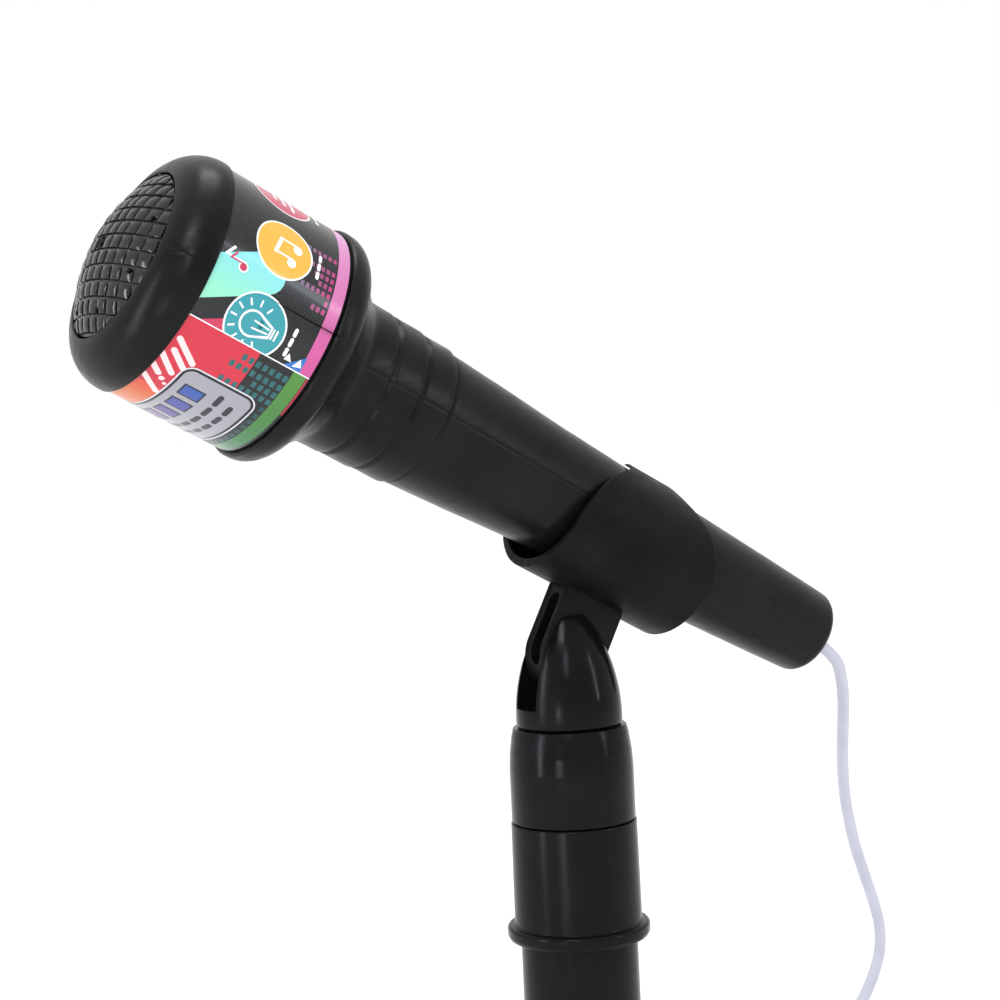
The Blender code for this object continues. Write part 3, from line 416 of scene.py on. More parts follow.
def coil_points():
    """Nine turns beside and on each other; each moves over to the next near the cord's arrival."""
    seats = ((OUT, TOP), (MID, TOP), (INNER, TOP), (INNER, HALFWAY), (INNER, BOTTOM),
             (MID, BOTTOM), (MID, HALFWAY), (OUT, BOTTOM), (OUT, HALFWAY))
    points = []
    steps, moves_over_at = 48, 312
    for index, (radius, height) in enumerate(seats):
        after = seats[min(index + 1, len(seats) - 1)]
        for step in range(steps):
            turn = step * 360 / steps
            change = max(0.0, (turn - moves_over_at) / (360 - moves_over_at))
            change = change * change * (3 - 2 * change)
            r = radius + (after[0] - radius) * change
            w = math.radians(90 + turn)
            points.append((COIL_MIDDLE[0] + r * math.cos(w), COIL_MIDDLE[1] + r * math.sin(w),
                           height + (after[1] - height) * change))
    return points + [(COIL_MIDDLE[0], OUT, HALFWAY)]


def smooth(points, step=1.6):
    """Curve through every point, with close even points."""
    knots = [Vector(p) for p in points]
    ends = [2 * knots[0] - knots[1]] + knots + [2 * knots[-1] - knots[-2]]
    route = []
    for a, b, c, d in zip(ends, ends[1:], ends[2:], ends[3:]):
        count = max(1, round((c - b).length / step))
        for k in range(count):
            s = k / count
            route.append(0.5 * (2 * b + (c - a) * s + (2 * a - 5 * b + 4 * c - d) * s * s
                                + (3 * b - a - 3 * c + d) * s ** 3))
    return route + [knots[-1]]


def bar_along(name, profile, at):
    """Plug piece turned about the cord's end, pointing to -X."""
    place = axes(Vector((0, 0, 1)), Vector((0, 1, 0)), Vector((-1, 0, 0)), Vector(at))
    slots = {"plug_grip": "cord_jacket", "plug_insulator": "lead_black"}
    return piece(name, turned(profile, 40, closed=False), place, "microphone",
                 slots.get(name, "plug_metal"), name)


def make_plug():
    at = (PLUG_LEAD[-1][0] - 0.3, *PLUG_LEAD[-1][1:])
    relief = [(0, 0), (2.2, 0)]
    for rib in range(5):
        base, radius = 0.9 + 1.55 * rib, 2.35 + 0.14 * rib
        relief += [(radius, base - 0.35), (radius, base + 0.45), (radius - 0.4, base + 0.65),
                   (radius - 0.4, base + 1.0)]
    grip = relief + [(3.1, 9.0), (3.7, 10.2), (4.0, 12.0)]
    for groove in range(6):
        base = 14.0 + 1.8 * groove
        grip += [(4.0, base), (3.75, base + 0.25), (3.75, base + 0.55), (4.0, base + 0.8)]
    grip += [(4.0, 27.3), (3.85, 27.8), (3.5, 28.0), (0, 28.0)]
    sleeve = [(0, 28.3), (2.55, 28.3), (2.65, 28.45), (2.65, 29.4), (2.5, 29.5), (1.75, 29.5),
              (1.75, 39.1), (1.65, 39.3), (0, 39.3)]
    band = [(0, 39.6), (1.75, 39.6), (1.75, 40.3), (0, 40.3)]
    tip = [(0, 40.6), (1.6, 40.6), (1.68, 40.75), (1.2, 41.3), (1.25, 41.5), (1.72, 42.1),
           (1.72, 42.3), (1.3, 42.9), (0.75, 43.3), (0.3, 43.5), (0, 43.5)]
    return [bar_along("plug_grip", grip, at), bar_along("plug_sleeve", sleeve, at),
            bar_along("plug_insulator", band, at), bar_along("plug_tip", tip, at)]


def make_tie():
    """Flat rubber strap round the coil's section, its corners rounded."""
    wide, high, thick = 5.46, 5.1, 0.8
    middle = (COIL_MIDDLE[0], -MID, HALFWAY)
    outer = rounded([(s * (wide + thick * 0.5), t * (high + thick * 0.5), 2.0)
                     for s, t in ((1, 1), (-1, 1), (-1, -1), (1, -1))], 8)
    bm = bmesh.new()
    section = rounded([(3.0, 0.38, 0.2), (-3.0, 0.38, 0.2), (-3.0, -0.38, 0.2),
                       (3.0, -0.38, 0.2)], 3)
    rings = []
    for i, here in enumerate(outer):
        ahead, behind = Vector(outer[(i + 1) % len(outer)]), Vector(outer[i - 1])
        out = Vector((ahead.y - behind.y, behind.x - ahead.x)).normalized()
        rings.append([bm.verts.new((middle[0] + across, middle[1] + here[0] + out.x * lift,
                                    middle[2] + here[1] + out.y * lift))
                      for across, lift in section])
    stitch(bm, list(zip(rings, rings[1:] + rings[:1])), len(section))
    return piece("cord_tie", bm, STAND, "microphone", "soft_rubber", "cord_tie")


def make_cord():
    start = [on_axis(s) for s in (CORD_START, 72.0, TAIL - 8, TAIL - 3, TAIL)]
    route = smooth([*start, *CORD_FALL, *coil_points(), *PLUG_LEAD])
    length = sum((b - a).length for a, b in zip(route, route[1:])) * MM
    curve = bpy.data.curves.new("cord", "CURVE")
    curve.dimensions = "3D"
    curve.bevel_depth = CORD_RADIUS * MM
    curve.bevel_resolution = 5
    curve.use_fill_caps = True
    spline = curve.splines.new("POLY")
    spline.points.add(len(route) - 1)
    for point, at in zip(spline.points, route):
        point.co = (*(at * MM), 1)
    spline.use_smooth = True
    curve.materials.append(SLOTS["cord_jacket"].material)
    obj = bpy.data.objects.new("cord_shaped", curve)
    bpy.context.scene.collection.objects.link(obj)
    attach(obj, "microphone")
    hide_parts("cord", "cord_coil", "cord_end")
    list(make_plug())
    make_tie()


make_cord()


# ================================================================ microphone shells
BAND = 26.35
FILM = 26.8
GROOVES = ((-60.3, 17.45, 17.3), (-52.0, 17.3, 17.0), (-43.75, 17.0, 16.4))
SCREWS_ON_TOP = (-33.0, 58.0)
SCREW_SEATS = (11.0, 7.1)                   # how high over the axis the screw heads sit
SCREW_BORE = 2.6


def shell_profile():
    """(radius, station, on the outside) round the wall of the hollow body."""
    outside = [(19.6, -117.2), (19.6, -120.6)]
    outside += arc((17.85, -111.6), 9.5, -78, 0, 18)
    outside += rounded([(27.35, -111.4, 0), (27.35, -111.1, 0.2), (BAND, -111.1, 0)])[1:]
    outside += rounded([(BAND, -80.9, 0.12), (27.3, -80.8, 0.15), (27.7, -80.2, 0.3),
                        (27.7, -79.2, 0)], 3)
    outside += arc((22.7, -79.0), 5.0, 3, 76, 16)
    outside += [(21.6, -72.3), (19.6, -70.1), (18.5, -68.9), (17.95, -68.1), (17.65, -67.2),
                (17.5, -66.0), (17.45, -64.8)]
    for station, before, behind in GROOVES:
        outside += rounded([(before, station - 2.0, 0), (before, station - 0.8, 0.22),
                            (before - 0.85, station - 0.6, 0.15),
                            (before - 0.85, station - 0.1, 0.2),
                            (behind, station + 0.8, 0.3), (behind - 0.05, station + 2.0, 0)], 3)
    outside += [(15.98, -34.0), (15.57, -25.5), (15.1, -18.0), (14.6, -9.6), (13.5, 18.0),
                (12.65, 39.0), (11.85, 59.5), (11.35, 71.0)]
    tail_round = 2.6
    outside += arc((10.85 - tail_round, TAIL - tail_round), tail_round, 0, 90, 8)
    inside = [(3.5, TAIL), (3.5, TAIL - 2.5), (8.4, TAIL - 2.9), (9.9, 59.5), (12.6, -9.6),
              (14.3, -43.0), (15.3, -69.2), (21.2, -74.2), (24.2, -78.0), (24.2, -115.0),
              (21.9, -115.0), (21.9, -117.2)]
    return [(r, t, 1) for r, t in outside] + [(r, t, 0) for r, t in inside]


def half_turn(first):
    """Stops over one half, its outer edges eased at the parting line."""
    lead = [(0.05, 0.06), (0.2, 0.02), (0.5, 0.0)]
    body = [(k, 0.0) for k in range(3, 178, 3)]
    tail = [(180 - w, ease) for w, ease in reversed(lead)]
    return [(first + w, ease) for w, ease in lead + body + tail]


def make_shells():
    lower = part_turned(shell_profile(), half_turn(90))
    piece("lower_shell", lower, MICROPHONE, "microphone", "mic_body", "lower_shell")
    upper = part_turned(shell_profile(), half_turn(-90))
    facing_up = Matrix.Rotation(math.radians(90), 4, "Y")
    for station, seat in zip(SCREWS_ON_TOP, SCREW_SEATS):
        bore = turned([(SCREW_BORE, 20), (SCREW_BORE, seat), (0, seat), (0, 20)], 40)
        bore.transform(Matrix.Translation((0, 0, station)) @ facing_up)
        upper = combined(upper, bore)
    piece("upper_shell", upper, MICROPHONE, "microphone", "mic_body", "upper_shell")
    sleeves = bmesh.new()
    for station, seat in zip(SCREWS_ON_TOP, SCREW_SEATS):
        rim = seat + 2.6
        wall = turned([(3.5, rim), (3.5, 0.1), (1.3, 0.1), (1.3, seat), (SCREW_BORE, seat),
                       (SCREW_BORE, rim)], 40)
        wall.transform(Matrix.Translation((0, 0, station)) @ facing_up)
        sleeves = joined(sleeves, wall)
    piece("screw_sleeves", sleeves, MICROPHONE, "microphone", "mic_body")


make_shells()


# ================================================================ grille
TILE = 3.4
GRILLE_RADIUS = 19.2
DOME = 36.0
DOME_MIDDLE = -126.2 + DOME


def make_grille():
    """Domed cap cut like wire mesh: square tiles with eased edges, each a little out of true."""
    rng = random.Random(7)
    lines = []
    for k in range(-7, 7):
        groove = (k + 0.5) * TILE
        lines += [(groove - 0.62, 0.0), (groove - 0.36, 0.12), (groove - 0.24, 1.0),
                  (groove + 0.24, 1.0), (groove + 0.36, 0.12), (groove + 0.62, 0.0),
                  (groove + TILE / 2, -0.09)]
    tilt = {}

    def height(x, y, dx, dy):
        tile = (round(x / TILE), round(y / TILE))
        if tile not in tilt:
            tilt[tile] = (rng.uniform(-0.05, 0.05), rng.uniform(-0.05, 0.05),
                          rng.uniform(-0.05, 0.07))
        lean_x, lean_y, drop = tilt[tile]
        sink = max(0.55 * dx, 0.75 * dy) if max(dx, dy) > 0 else (dx + dy)
        if max(dx, dy) < 1:
            sink += lean_x * (x - tile[0] * TILE) + lean_y * (y - tile[1] * TILE) + drop
            if tile == (0, 0) and max(dx, dy) <= 0:
                sink += 1.0
        return sink

    bm = bmesh.new()
    front, back = [], []
    for x, dx in lines:
        front.append([])
        back.append([])
        for y, dy in lines:
            dome = DOME_MIDDLE - math.sqrt(max(DOME ** 2 - x * x - y * y, 100))
            front[-1].append(bm.verts.new((x, y, dome + height(x, y, dx, dy))))
            back[-1].append(bm.verts.new((x, y, dome + 1.9)))
    last = len(lines) - 1
    for grid in (front, back):
        for i in range(last):
            for j in range(last):
                near, far = grid[i], grid[i + 1]
                bm.faces.new((near[j], far[j], far[j + 1], near[j + 1]))
    edge = ([(0, j) for j in range(last)] + [(i, last) for i in range(last)]
            + [(last, last - j) for j in range(last)] + [(last - i, 0) for i in range(last)])
    stitch(bm, [([front[i][j] for i, j in edge], [back[i][j] for i, j in edge])], len(edge))
    bound = turned([(0, -135), (GRILLE_RADIUS, -135), (GRILLE_RADIUS, -100), (0, -100)], 120,
                   closed=False)
    cap = combined(bm, bound, "INTERSECT")
    holes, holes_out = 8, 15.6
    for k in range(holes):
        w = 2 * math.pi * (k + 0.5) / holes
        pin = turned([(0, -140), (0.6, -140), (0.6, -110), (0, -110)], 20, closed=False)
        pin.transform(Matrix.Translation((holes_out * math.cos(w), holes_out * math.sin(w), 0)))
        cap = combined(cap, pin)
    middle = turned([(0, -140), (1.2, -140), (1.2, -110), (0, -110)], 24, closed=False)
    cap = combined(cap, middle)
    skirt = turned([(GRILLE_RADIUS - 0.02, -120.4), (GRILLE_RADIUS - 0.02, -116.9), (21.4, -116.9),
                    (21.4, -115.3), (17.6, -115.3), (17.6, -119.6)], 120)
    piece("grille", combined(cap, skirt, "UNION"), MICROPHONE, "microphone", "grille_plastic",
          "grille", crease=24)


make_grille()


# ================================================================ printed labels
BLACK, WHITE = rgb(0.05, 0.05, 0.06), rgb(0.93, 0.93, 0.93)
YELLOW, TURQUOISE, PINK = rgb(0.90, 0.66, 0.24), rgb(0.18, 0.56, 0.60), rgb(0.72, 0.16, 0.32)
CRIMSON, LIME, TEAL = rgb(0.62, 0.10, 0.22), rgb(0.28, 0.50, 0.18), rgb(0.11, 0.36, 0.37)
BLUE, ORANGE, GREY = rgb(0.16, 0.42, 0.70), rgb(0.76, 0.36, 0.12), rgb(0.58, 0.58, 0.61)
BLUSH = rgb(0.95, 0.80, 0.80)
SPLIT = 52.6                                # where the two labels meet, across from the top
TITLE_MIDDLE = 84.2
LABEL_FRONT, LABEL_REAR = -110.9, -81.5
DISCS, DISC_STATION, ICON_STEP = 48.35, -97.6, 18.1     # the first disc, and the way to the next


def fade(first, last, start, end, along=False):
    """Ink that runs from one colour to another across the label, or along the microphone."""
    def ink(across, station):
        share = ((station if along else across) - start) / (end - start)
        share = min(1.0, max(0.0, share))
        return tuple(a + (b - a) * share for a, b in zip(first, last))
    return ink


class Sheet:
    """Flat artwork of one label: (across, station) in mm, each layer a hair above the last."""
    LIFT = 0.012

    def __init__(self, first, last, front, rear):
        self.limits = (first, last, front, rear)
        self.bm = bmesh.new()
        self.index = self.bm.faces.layers.int.new("ink")
        self.inks = []
        self.block(first, front, last, rear, BLACK, 0)

    def shape(self, points, ink, level):
        face = self.bm.faces.new([self.bm.verts.new((a, t, level)) for a, t in points])
        face[self.index] = len(self.inks)
        self.inks.append(ink)

    def block(self, a0, t0, a1, t1, ink, level):
        self.shape([(a0, t0), (a1, t0), (a1, t1), (a0, t1)], ink, level)

    def disc(self, across, station, radius, ink, level, steps=40):
        rim = arc((across, station), radius, 0, 360 * (steps - 1) / steps, steps - 1)
        self.shape(rim, ink, level)

    def capsule(self, first, last, width, ink, level, steps=10):
        a, b = Vector(first), Vector(last)
        heading = math.degrees(math.atan2(b.y - a.y, b.x - a.x))
        points = arc(a, width / 2, heading + 90, heading + 270, steps)
        points += arc(b, width / 2, heading - 90, heading + 90, steps)
        self.shape(points, ink, level)

    def bars(self, a, rear, counts, size, pitch, ink, level):
        """Columns of little squares, standing on the rear line."""
        for column, count in enumerate(counts):
            for row in range(count):
                left, low = a[column], rear - row * pitch
                self.block(left - size[0] / 2, low - size[1], left + size[0] / 2, low, ink, level)

    def wrapped(self):
        """Clip to the label, roll round the head and colour every corner."""
        bm = self.bm
        first, last, front, rear = self.limits
        planes = [((first, 0, 0), (-1, 0, 0)), ((last, 0, 0), (1, 0, 0)),
                  ((0, front, 0), (0, -1, 0)), ((0, rear, 0), (0, 1, 0))]
        for spot, facing in planes:
            everything = bm.verts[:] + bm.edges[:] + bm.faces[:]
            bmesh.ops.bisect_plane(bm, geom=everything, plane_co=spot, plane_no=facing,
                                   clear_outer=True)
        step = FILM * math.radians(2.5)
        for k in range(1, int((last - first) / step) + 1):
            everything = bm.verts[:] + bm.edges[:] + bm.faces[:]
            bmesh.ops.bisect_plane(bm, geom=everything, plane_co=(first + k * step, 0, 0),
                                   plane_no=(1, 0, 0))
        bmesh.ops.triangulate(bm, faces=bm.faces)
        paint = bm.loops.layers.float_color.new("print")
        for face in bm.faces:
            ink = self.inks[face[self.index]]
            for loop in face.loops:
                loop[paint] = ink(*loop.vert.co.xy) if callable(ink) else ink
            if face.normal.z < 0:
                face.normal_flip()
        for vert in bm.verts:
            across, station, level = vert.co
            radius = FILM + self.LIFT * level
            vert.co = (radius * math.cos(across / FILM), radius * math.sin(across / FILM), station)
        return bm


def make_label(name, sheet):
    """The sheet's colours over the film's own thickness."""
    first, last, front, rear = sheet.limits
    art = sheet.wrapped()
    film = [(FILM - 0.01, front), (FILM - 0.01, rear), (FILM - 0.3, rear), (FILM - 0.3, front)]
    degrees = [math.degrees(first / FILM), math.degrees(last / FILM)]
    steps = max(2, round((degrees[1] - degrees[0]) / 2.5))
    sweep = [(degrees[0] + (degrees[1] - degrees[0]) * k / steps, 0) for k in range(steps + 1)]
    art = joined(art, part_turned([(r, t, 0) for r, t in film], sweep))
    art.transform(MICROPHONE)
    mesh = bpy.data.meshes.new(name)
    art.to_mesh(mesh)
    art.free()
    mesh.materials.append(SLOTS["label_" + name.split("_")[0]].material)
    mesh.shade_smooth()
    mesh.set_sharp_from_angle(angle=math.radians(CREASE))
    obj = bpy.data.objects.new(name + "_shaped", mesh)
    bpy.context.scene.collection.objects.link(obj)
    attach(obj, "microphone")
    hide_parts(name)


def draw_note(sheet, across, station, size, ink, level, pair=False):
    """Music note standing towards the head: head, stem and flag."""
    sheet.disc(across, station, 1.15 * size, ink, level, 24)
    stem = (across - 1.0 * size, station - 4.4 * size)
    sheet.capsule((across - 0.95 * size, station), stem, 0.45 * size, ink, level)
    if pair:
        sheet.disc(across - 3.9 * size, station + 0.9 * size, 1.15 * size, ink, level, 24)
        other = (across - 4.9 * size, station - 3.5 * size)
        sheet.capsule((across - 4.85 * size, station + 0.9 * size), other, 0.45 * size, ink, level)
        sheet.capsule(stem, other, 0.9 * size, ink, level)
    else:
        sheet.capsule(stem, (across - 3.0 * size, station - 3.1 * size), 0.6 * size, ink, level)


def draw_bulb(sheet, across, station, ink, ground, level):
    """Light bulb with its cap towards the tail and short rays round the head side."""
    sheet.disc(across, station, 2.9, ink, level)
    sheet.shape([(across - 2.5, station + 1.4), (across + 2.5, station + 1.4),
                 (across + 1.3, station + 4.6), (across - 1.3, station + 4.6)], ink, level)
    sheet.disc(across, station, 2.45, ground, level + 1)
    sheet.shape([(across - 2.0, station + 1.4), (across + 2.0, station + 1.4),
                 (across + 0.85, station + 4.2), (across - 0.85, station + 4.2)], ground, level + 1)
    for row in (5.0, 5.8):
        sheet.capsule((across - 1.0, station + row), (across + 1.0, station + row), 0.4, ink,
                      level + 2)
    for side in (-1, 1):
        sheet.capsule((across + 0.8 * side, station + 0.3), (across + 0.5 * side, station + 3.8),
                      0.35, ink, level + 2)
    for degrees in range(150, 391, 30):
        w = math.radians(degrees)
        near, far = ((across + r * math.cos(w), station + r * math.sin(w)) for r in (3.9, 5.1))
        sheet.capsule(near, far, 0.4, ink, level, 6)


def draw_other_icon(sheet, kind, across, station, level):
    """Plain symbols of the discs further round: start, pause, stop and loudness."""
    if kind == 0:
        for row, reach in enumerate((1.4, 2.6, 3.8)):
            line = station - 2 + 2 * row
            sheet.capsule((across - reach, line), (across + reach, line), 0.8, WHITE, level)
    elif kind == 1:
        sheet.shape([(across - 2.6, station + 2.6), (across + 2.6, station + 2.6),
                     (across, station - 3)], WHITE, level)
    elif kind == 2:
        for side in (-1.5, 1.5):
            sheet.block(across + side - 0.8, station - 2.8, across + side + 0.8, station + 2.8,
                        WHITE, level)
    else:
        sheet.block(across - 2.2, station - 2.2, across + 2.2, station + 2.2, WHITE, level)


def function_art():
    far_edge = -49.0
    sheet = Sheet(far_edge, SPLIT, LABEL_FRONT, LABEL_REAR)
    slope, rise = 0.5645, 14.0
    sweep_inks = ((37.6, -100.0, fade(rgb(0.42, 0.76, 0.88), rgb(0.55, 0.85, 0.72), 30, 46)),
                  (53.0, -100.0, fade(CRIMSON, rgb(0.85, 0.25, 0.40), 44, 60)))
    for base in (0, -3 * ICON_STEP):
        for across, station, ink in sweep_inks:
            sheet.capsule((across + base, station), (across + base + slope * rise, station - rise),
                          9.0, ink, 1)
    purple = fade(rgb(0.42, 0.36, 0.46), rgb(0.66, 0.18, 0.44), -92, -85, along=True)
    blue = fade(rgb(0.36, 0.42, 0.52), rgb(0.20, 0.55, 0.66), -92, -85, along=True)
    for first, counts, ink in ((26.0, (6, 0, 5, 4, 3, 6, 1, 3), purple),
                               (-44.0, (3, 5, 2, 6, 4, 1, 5, 3, 6, 2, 4, 5, 1, 3), blue)):
        columns = [first + 1.87 * k for k in range(len(counts))]
        sheet.bars(columns, -84.9, counts, (1.2, 0.85), 1.31, ink, 2)
    sheet.block(far_edge, -84.4, SPLIT, LABEL_REAR,
                fade(rgb(0.80, 0.62, 0.80), rgb(0.75, 0.30, 0.55), -10, 50), 2)
    disc_inks = (TURQUOISE, YELLOW, PINK, TURQUOISE, ORANGE, rgb(0.50, 0.36, 0.70))
    for index, ink in enumerate(disc_inks):
        across = DISCS - ICON_STEP * index
        sheet.disc(across, DISC_STATION, 6.95, WHITE, 3)
        sheet.disc(across, DISC_STATION, 6.55, ink, 4)
        if index > 1:
            draw_other_icon(sheet, index - 2, across, DISC_STATION, 5)
        for dash in range(3):
            left = across - 3.2 + 2.2 * dash
            sheet.capsule((left, -89.0), (left + 1.2, -89.0), 0.8, WHITE, 3, 6)
    draw_bulb(sheet, DISCS, -98.4, WHITE, TURQUOISE, 5)
    draw_note(sheet, 32.6, -95.4, 0.95, WHITE, 5, pair=True)
    draw_note(sheet, 39.0, -105.2, 1.0, WHITE, 5)
    draw_note(sheet, 39.0, -105.2, 0.72, PINK, 6)
    sheet.shape([(49.05, -84.1), (SPLIT, -88.1), (SPLIT, -84.1)], BLUE, 4)
    sheet.shape([(50.0, -85.2), (52.15, -86.3), (51.6, -84.3)], WHITE, 5)
    sheet.shape([(50.0, -88.1), (51.5, -86.9), (51.6, -88.7)], WHITE, 5)
    return sheet


def title_art():
    rear_end = 2 * TITLE_MIDDLE - SPLIT
    sheet = Sheet(SPLIT, rear_end, LABEL_FRONT, LABEL_REAR)
    sheet.block(SPLIT, -111, rear_end, -93.5, fade(rgb(0.76, 0.14, 0.22), CRIMSON, 60, 100), 1)
    sheet.block(72.0, -111, rear_end, -105.2, fade(rgb(0.80, 0.26, 0.18), ORANGE, 72, 78), 2)
    strokes = ((58.2, -109.75, 62.0, -104.25), (61.05, -109.25, 64.0, -105.2),
               (62.8, -111.05, 66.4, -106.4), (66.15, -111.05, 67.95, -108.55),
               (69.7, -111.05, 73.4, -105.8))
    for mirrored in (False, True):
        for a0, t0, a1, t1 in strokes:
            ends = [(2 * TITLE_MIDDLE - a if mirrored else a, t) for a, t in ((a0, t0), (a1, t1))]
            sheet.capsule(*ends, 1.3, BLUSH, 3)
        for a, t, radius in ((68.9, -107.2, 0.65), (69.97, -105.9, 0.45)):
            sheet.disc(2 * TITLE_MIDDLE - a if mirrored else a, t, radius, BLUSH, 3, 20)
    for grow, ink, level in ((0.95, rgb(0.80, 0.80, 0.83), 4), (0.6, BLACK, 5), (0.0, GREY, 6)):
        box = ((63.2 - grow, -104.3 - grow), (105.2 + grow, -104.3 - grow),
               (105.2 + grow, -88.1 + grow), (63.2 - grow, -88.1 + grow))
        sheet.shape(rounded([(a, t, 2.1 + grow) for a, t in box], 6), ink, level)
    for k in range(7):
        left = 67.0 + 5.0 * k
        sheet.block(left, -102.6, left + 3.6, -97.4, BLACK, 7)
        sheet.block(left + 0.35, -102.2, left + 3.25, -97.8,
                    fade(rgb(0.16, 0.32, 0.62), rgb(0.52, 0.12, 0.26), 67, 102), 8)
    for row, (start, gap) in enumerate(((65.5, 4.4), (67.0, 4.1))):
        for k in range(9 - row):
            left = start + gap * k
            line = -94.4 + 3.2 * row
            sheet.capsule((left + 0.6, line), (left + gap - 1.4, line), 1.3,
                          rgb(0.13, 0.13, 0.17), 7)
    sheet.block(SPLIT, -87.1, rear_end, -85.3, BLACK, 2)
    sheet.block(SPLIT, -93.5, rear_end, -85.3, BLACK, 1.5)
    columns = (55.2, 57.5, 59.5, 61.6)
    for places, counts, ink in ((columns, (7, 8, 4, 8), TEAL),
                                ([rear_end + SPLIT - a for a in columns], (5, 8, 6, 3), TEAL),
                                ([63.9 + 2.2 * k for k in range(19)], [1] * 19,
                                 rgb(0.08, 0.26, 0.27))):
        sheet.bars(places, -85.4, counts, (1.4, 1.05), 1.67, ink, 3)
    sheet.block(SPLIT, -85.2, rear_end, -82.1, fade(LIME, rgb(0.09, 0.36, 0.28), 54, 92), 4)
    sheet.block(SPLIT, -82.0, 62.8, -81.3, CRIMSON, 4)
    sheet.block(SPLIT, -111, SPLIT + 0.25, -81.3, WHITE, 5)
    return sheet


make_label("function_label", function_art())
make_label("title_label", title_art())


# ================================================================ clip
CLIP_STATION, CLIP_HALF = 18.55, 20.8       # its middle along the axis, and half its length
ROUND_FROM = -7.5                           # below this height its ends are straight
OPEN_TO = 13.3                              # half of its opening at the top, in degrees


def wing_reach(height):
    """Half the clip's length at a height over the axis: straight below, round above, blunt tip."""
    if height <= ROUND_FROM:
        return CLIP_HALF
    if height <= 10.87:
        return math.sqrt(CLIP_HALF ** 2 - (height - ROUND_FROM) ** 2)
    if height <= 12.6:
        return 9.77 - (height - 10.87) * (9.77 - 7.4) / 1.73
    return max(5.6, 7.4 - (height - 12.6) * 0.6)


def make_clip():
    bm = bmesh.new()
    rings = []
    rng = random.Random(3)
    last = 133
    for step in range(last + 1):
        w = math.radians(OPEN_TO + (360 - 2 * OPEN_TO) * step / last)
        inner, outer = (drop * math.cos(w) + math.sqrt(radius ** 2 - (drop * math.sin(w)) ** 2)
                        for radius, drop in ((15.65, -1.45), (17.0, -2.2)))
        end_ease = min(step, last - step)
        outer -= (0.25, 0.06)[end_ease] if end_ease < 2 else 0.0
        reach = wing_reach((inner + outer) / 2 * math.cos(w))
        section = rounded([(inner, -reach, 0.2), (outer, -reach, 0.45), (outer, reach, 0.45),
                           (inner, reach, 0.2)], 4)
        rough = 0.05 * rng.uniform(-1, 1)
        rings.append([bm.verts.new((r * math.cos(w), r * math.sin(w),
                                    CLIP_STATION + t + (rough if t < 0 else 0)))
                      for r, t in section])
    stitch(bm, list(zip(rings, rings[1:])), len(rings[0]))
    bm.faces.new(rings[0])
    bm.faces.new(rings[-1])
    eye, (foot, middle) = 8.75, PIVOT
    sides = [(middle + eye, -16.6), *arc((middle, foot), eye, 0, -180, 32), (middle - eye, -16.6)]
    tongue = slab(sides, -3.7, 3.7)
    # a slab's X turns to run along the microphone, and its Z up
    tongue.transform(Matrix(((0, 0, 1, 0), (0, 1, 0, 0), (1, 0, 0, 0), (0, 0, 0, 1))))
    tongue = eased(tongue, 0.5, 50)
    clip = combined(bm, tongue, "UNION")
    low, high, half = foot - eye + 3.2, -20.8, 1.9
    pocket = rounded([(half, low, 1.88), (half, high, 1.88), (-half, high, 1.88),
                      (-half, low, 1.88)], 8)
    cutter = slab(pocket, middle - eye - 3, middle - eye + 4.6)
    # here a slab's X stays across, and its Y turns to run along the microphone
    cutter.transform(Matrix(((0, 0, 1, 0), (1, 0, 0, 0), (0, 1, 0, 0), (0, 0, 0, 1))))
    clip = combined(clip, cutter)
    pin = turned([(0, -6), (2.2, -6), (2.2, 6), (0, 6)], 36, closed=False)
    pin.transform(Matrix.Translation((foot, 0, middle)) @ Matrix.Rotation(math.radians(90), 4, "X"))
    piece("clip", combined(clip, pin), MICROPHONE, "clip", "clip_plastic", "clip", crease=38)


make_clip()


# ================================================================ fork and its screws
FORK_BASE = 110.6
PIN_HEIGHT = 127.4
SIDEWAYS = Matrix.Rotation(math.radians(-90), 4, "X")      # a turned piece's axis to +Y


def make_fork():
    widest, flank_radius, gap, floor = 12.7, 41.3, 4.1, FORK_BASE + 4.6
    flank = arc((widest - flank_radius, FORK_BASE + 2), flank_radius, 0, 35.9, 24)
    profile = [(0, FORK_BASE + 26.2), (3.6, FORK_BASE + 26.2), (4.4, FORK_BASE + 26.0),
               *reversed(flank), (widest, FORK_BASE + 0.35), (12.35, FORK_BASE), (7.0, FORK_BASE),
               (7.0, FORK_BASE - 8.4), (6.6, FORK_BASE - 8.8), (0, FORK_BASE - 8.8)]
    fork = turned(profile, 96, closed=False)
    slot = slab([(-30, floor), (30, floor), (30, FORK_BASE + 40), (-30, FORK_BASE + 40)],
                -gap, gap)
    fork = eased(combined(fork, slot), 0.35, 42)
    way = turned([(0, 30), (3.5, 30), (3.5, 7.2), (2.2, 7.2), (2.2, -7.7), (0, -7.7)], 40,
                 closed=False)
    way.transform(Matrix.Translation((0, 0, PIN_HEIGHT)) @ SIDEWAYS)
    fork = combined(fork, way)
    pilot = turned([(0, FORK_BASE - 1.6), (2.2, FORK_BASE - 1.6), (2.2, 90), (0, 90)], 32,
                   closed=False)
    piece("fork", combined(fork, pilot), STAND, "fork", "stand_plastic", "fork")


def cross_slot(size, width, top, depth):
    bm = bmesh.new()
    for along, across in ((size, width), (width, size)):
        made = bmesh.ops.create_cube(bm, size=1.0)["verts"]
        bmesh.ops.scale(bm, vec=(along, across, 2 * depth), verts=made)
        bmesh.ops.translate(bm, vec=(0, 0, top), verts=made)
    return bm


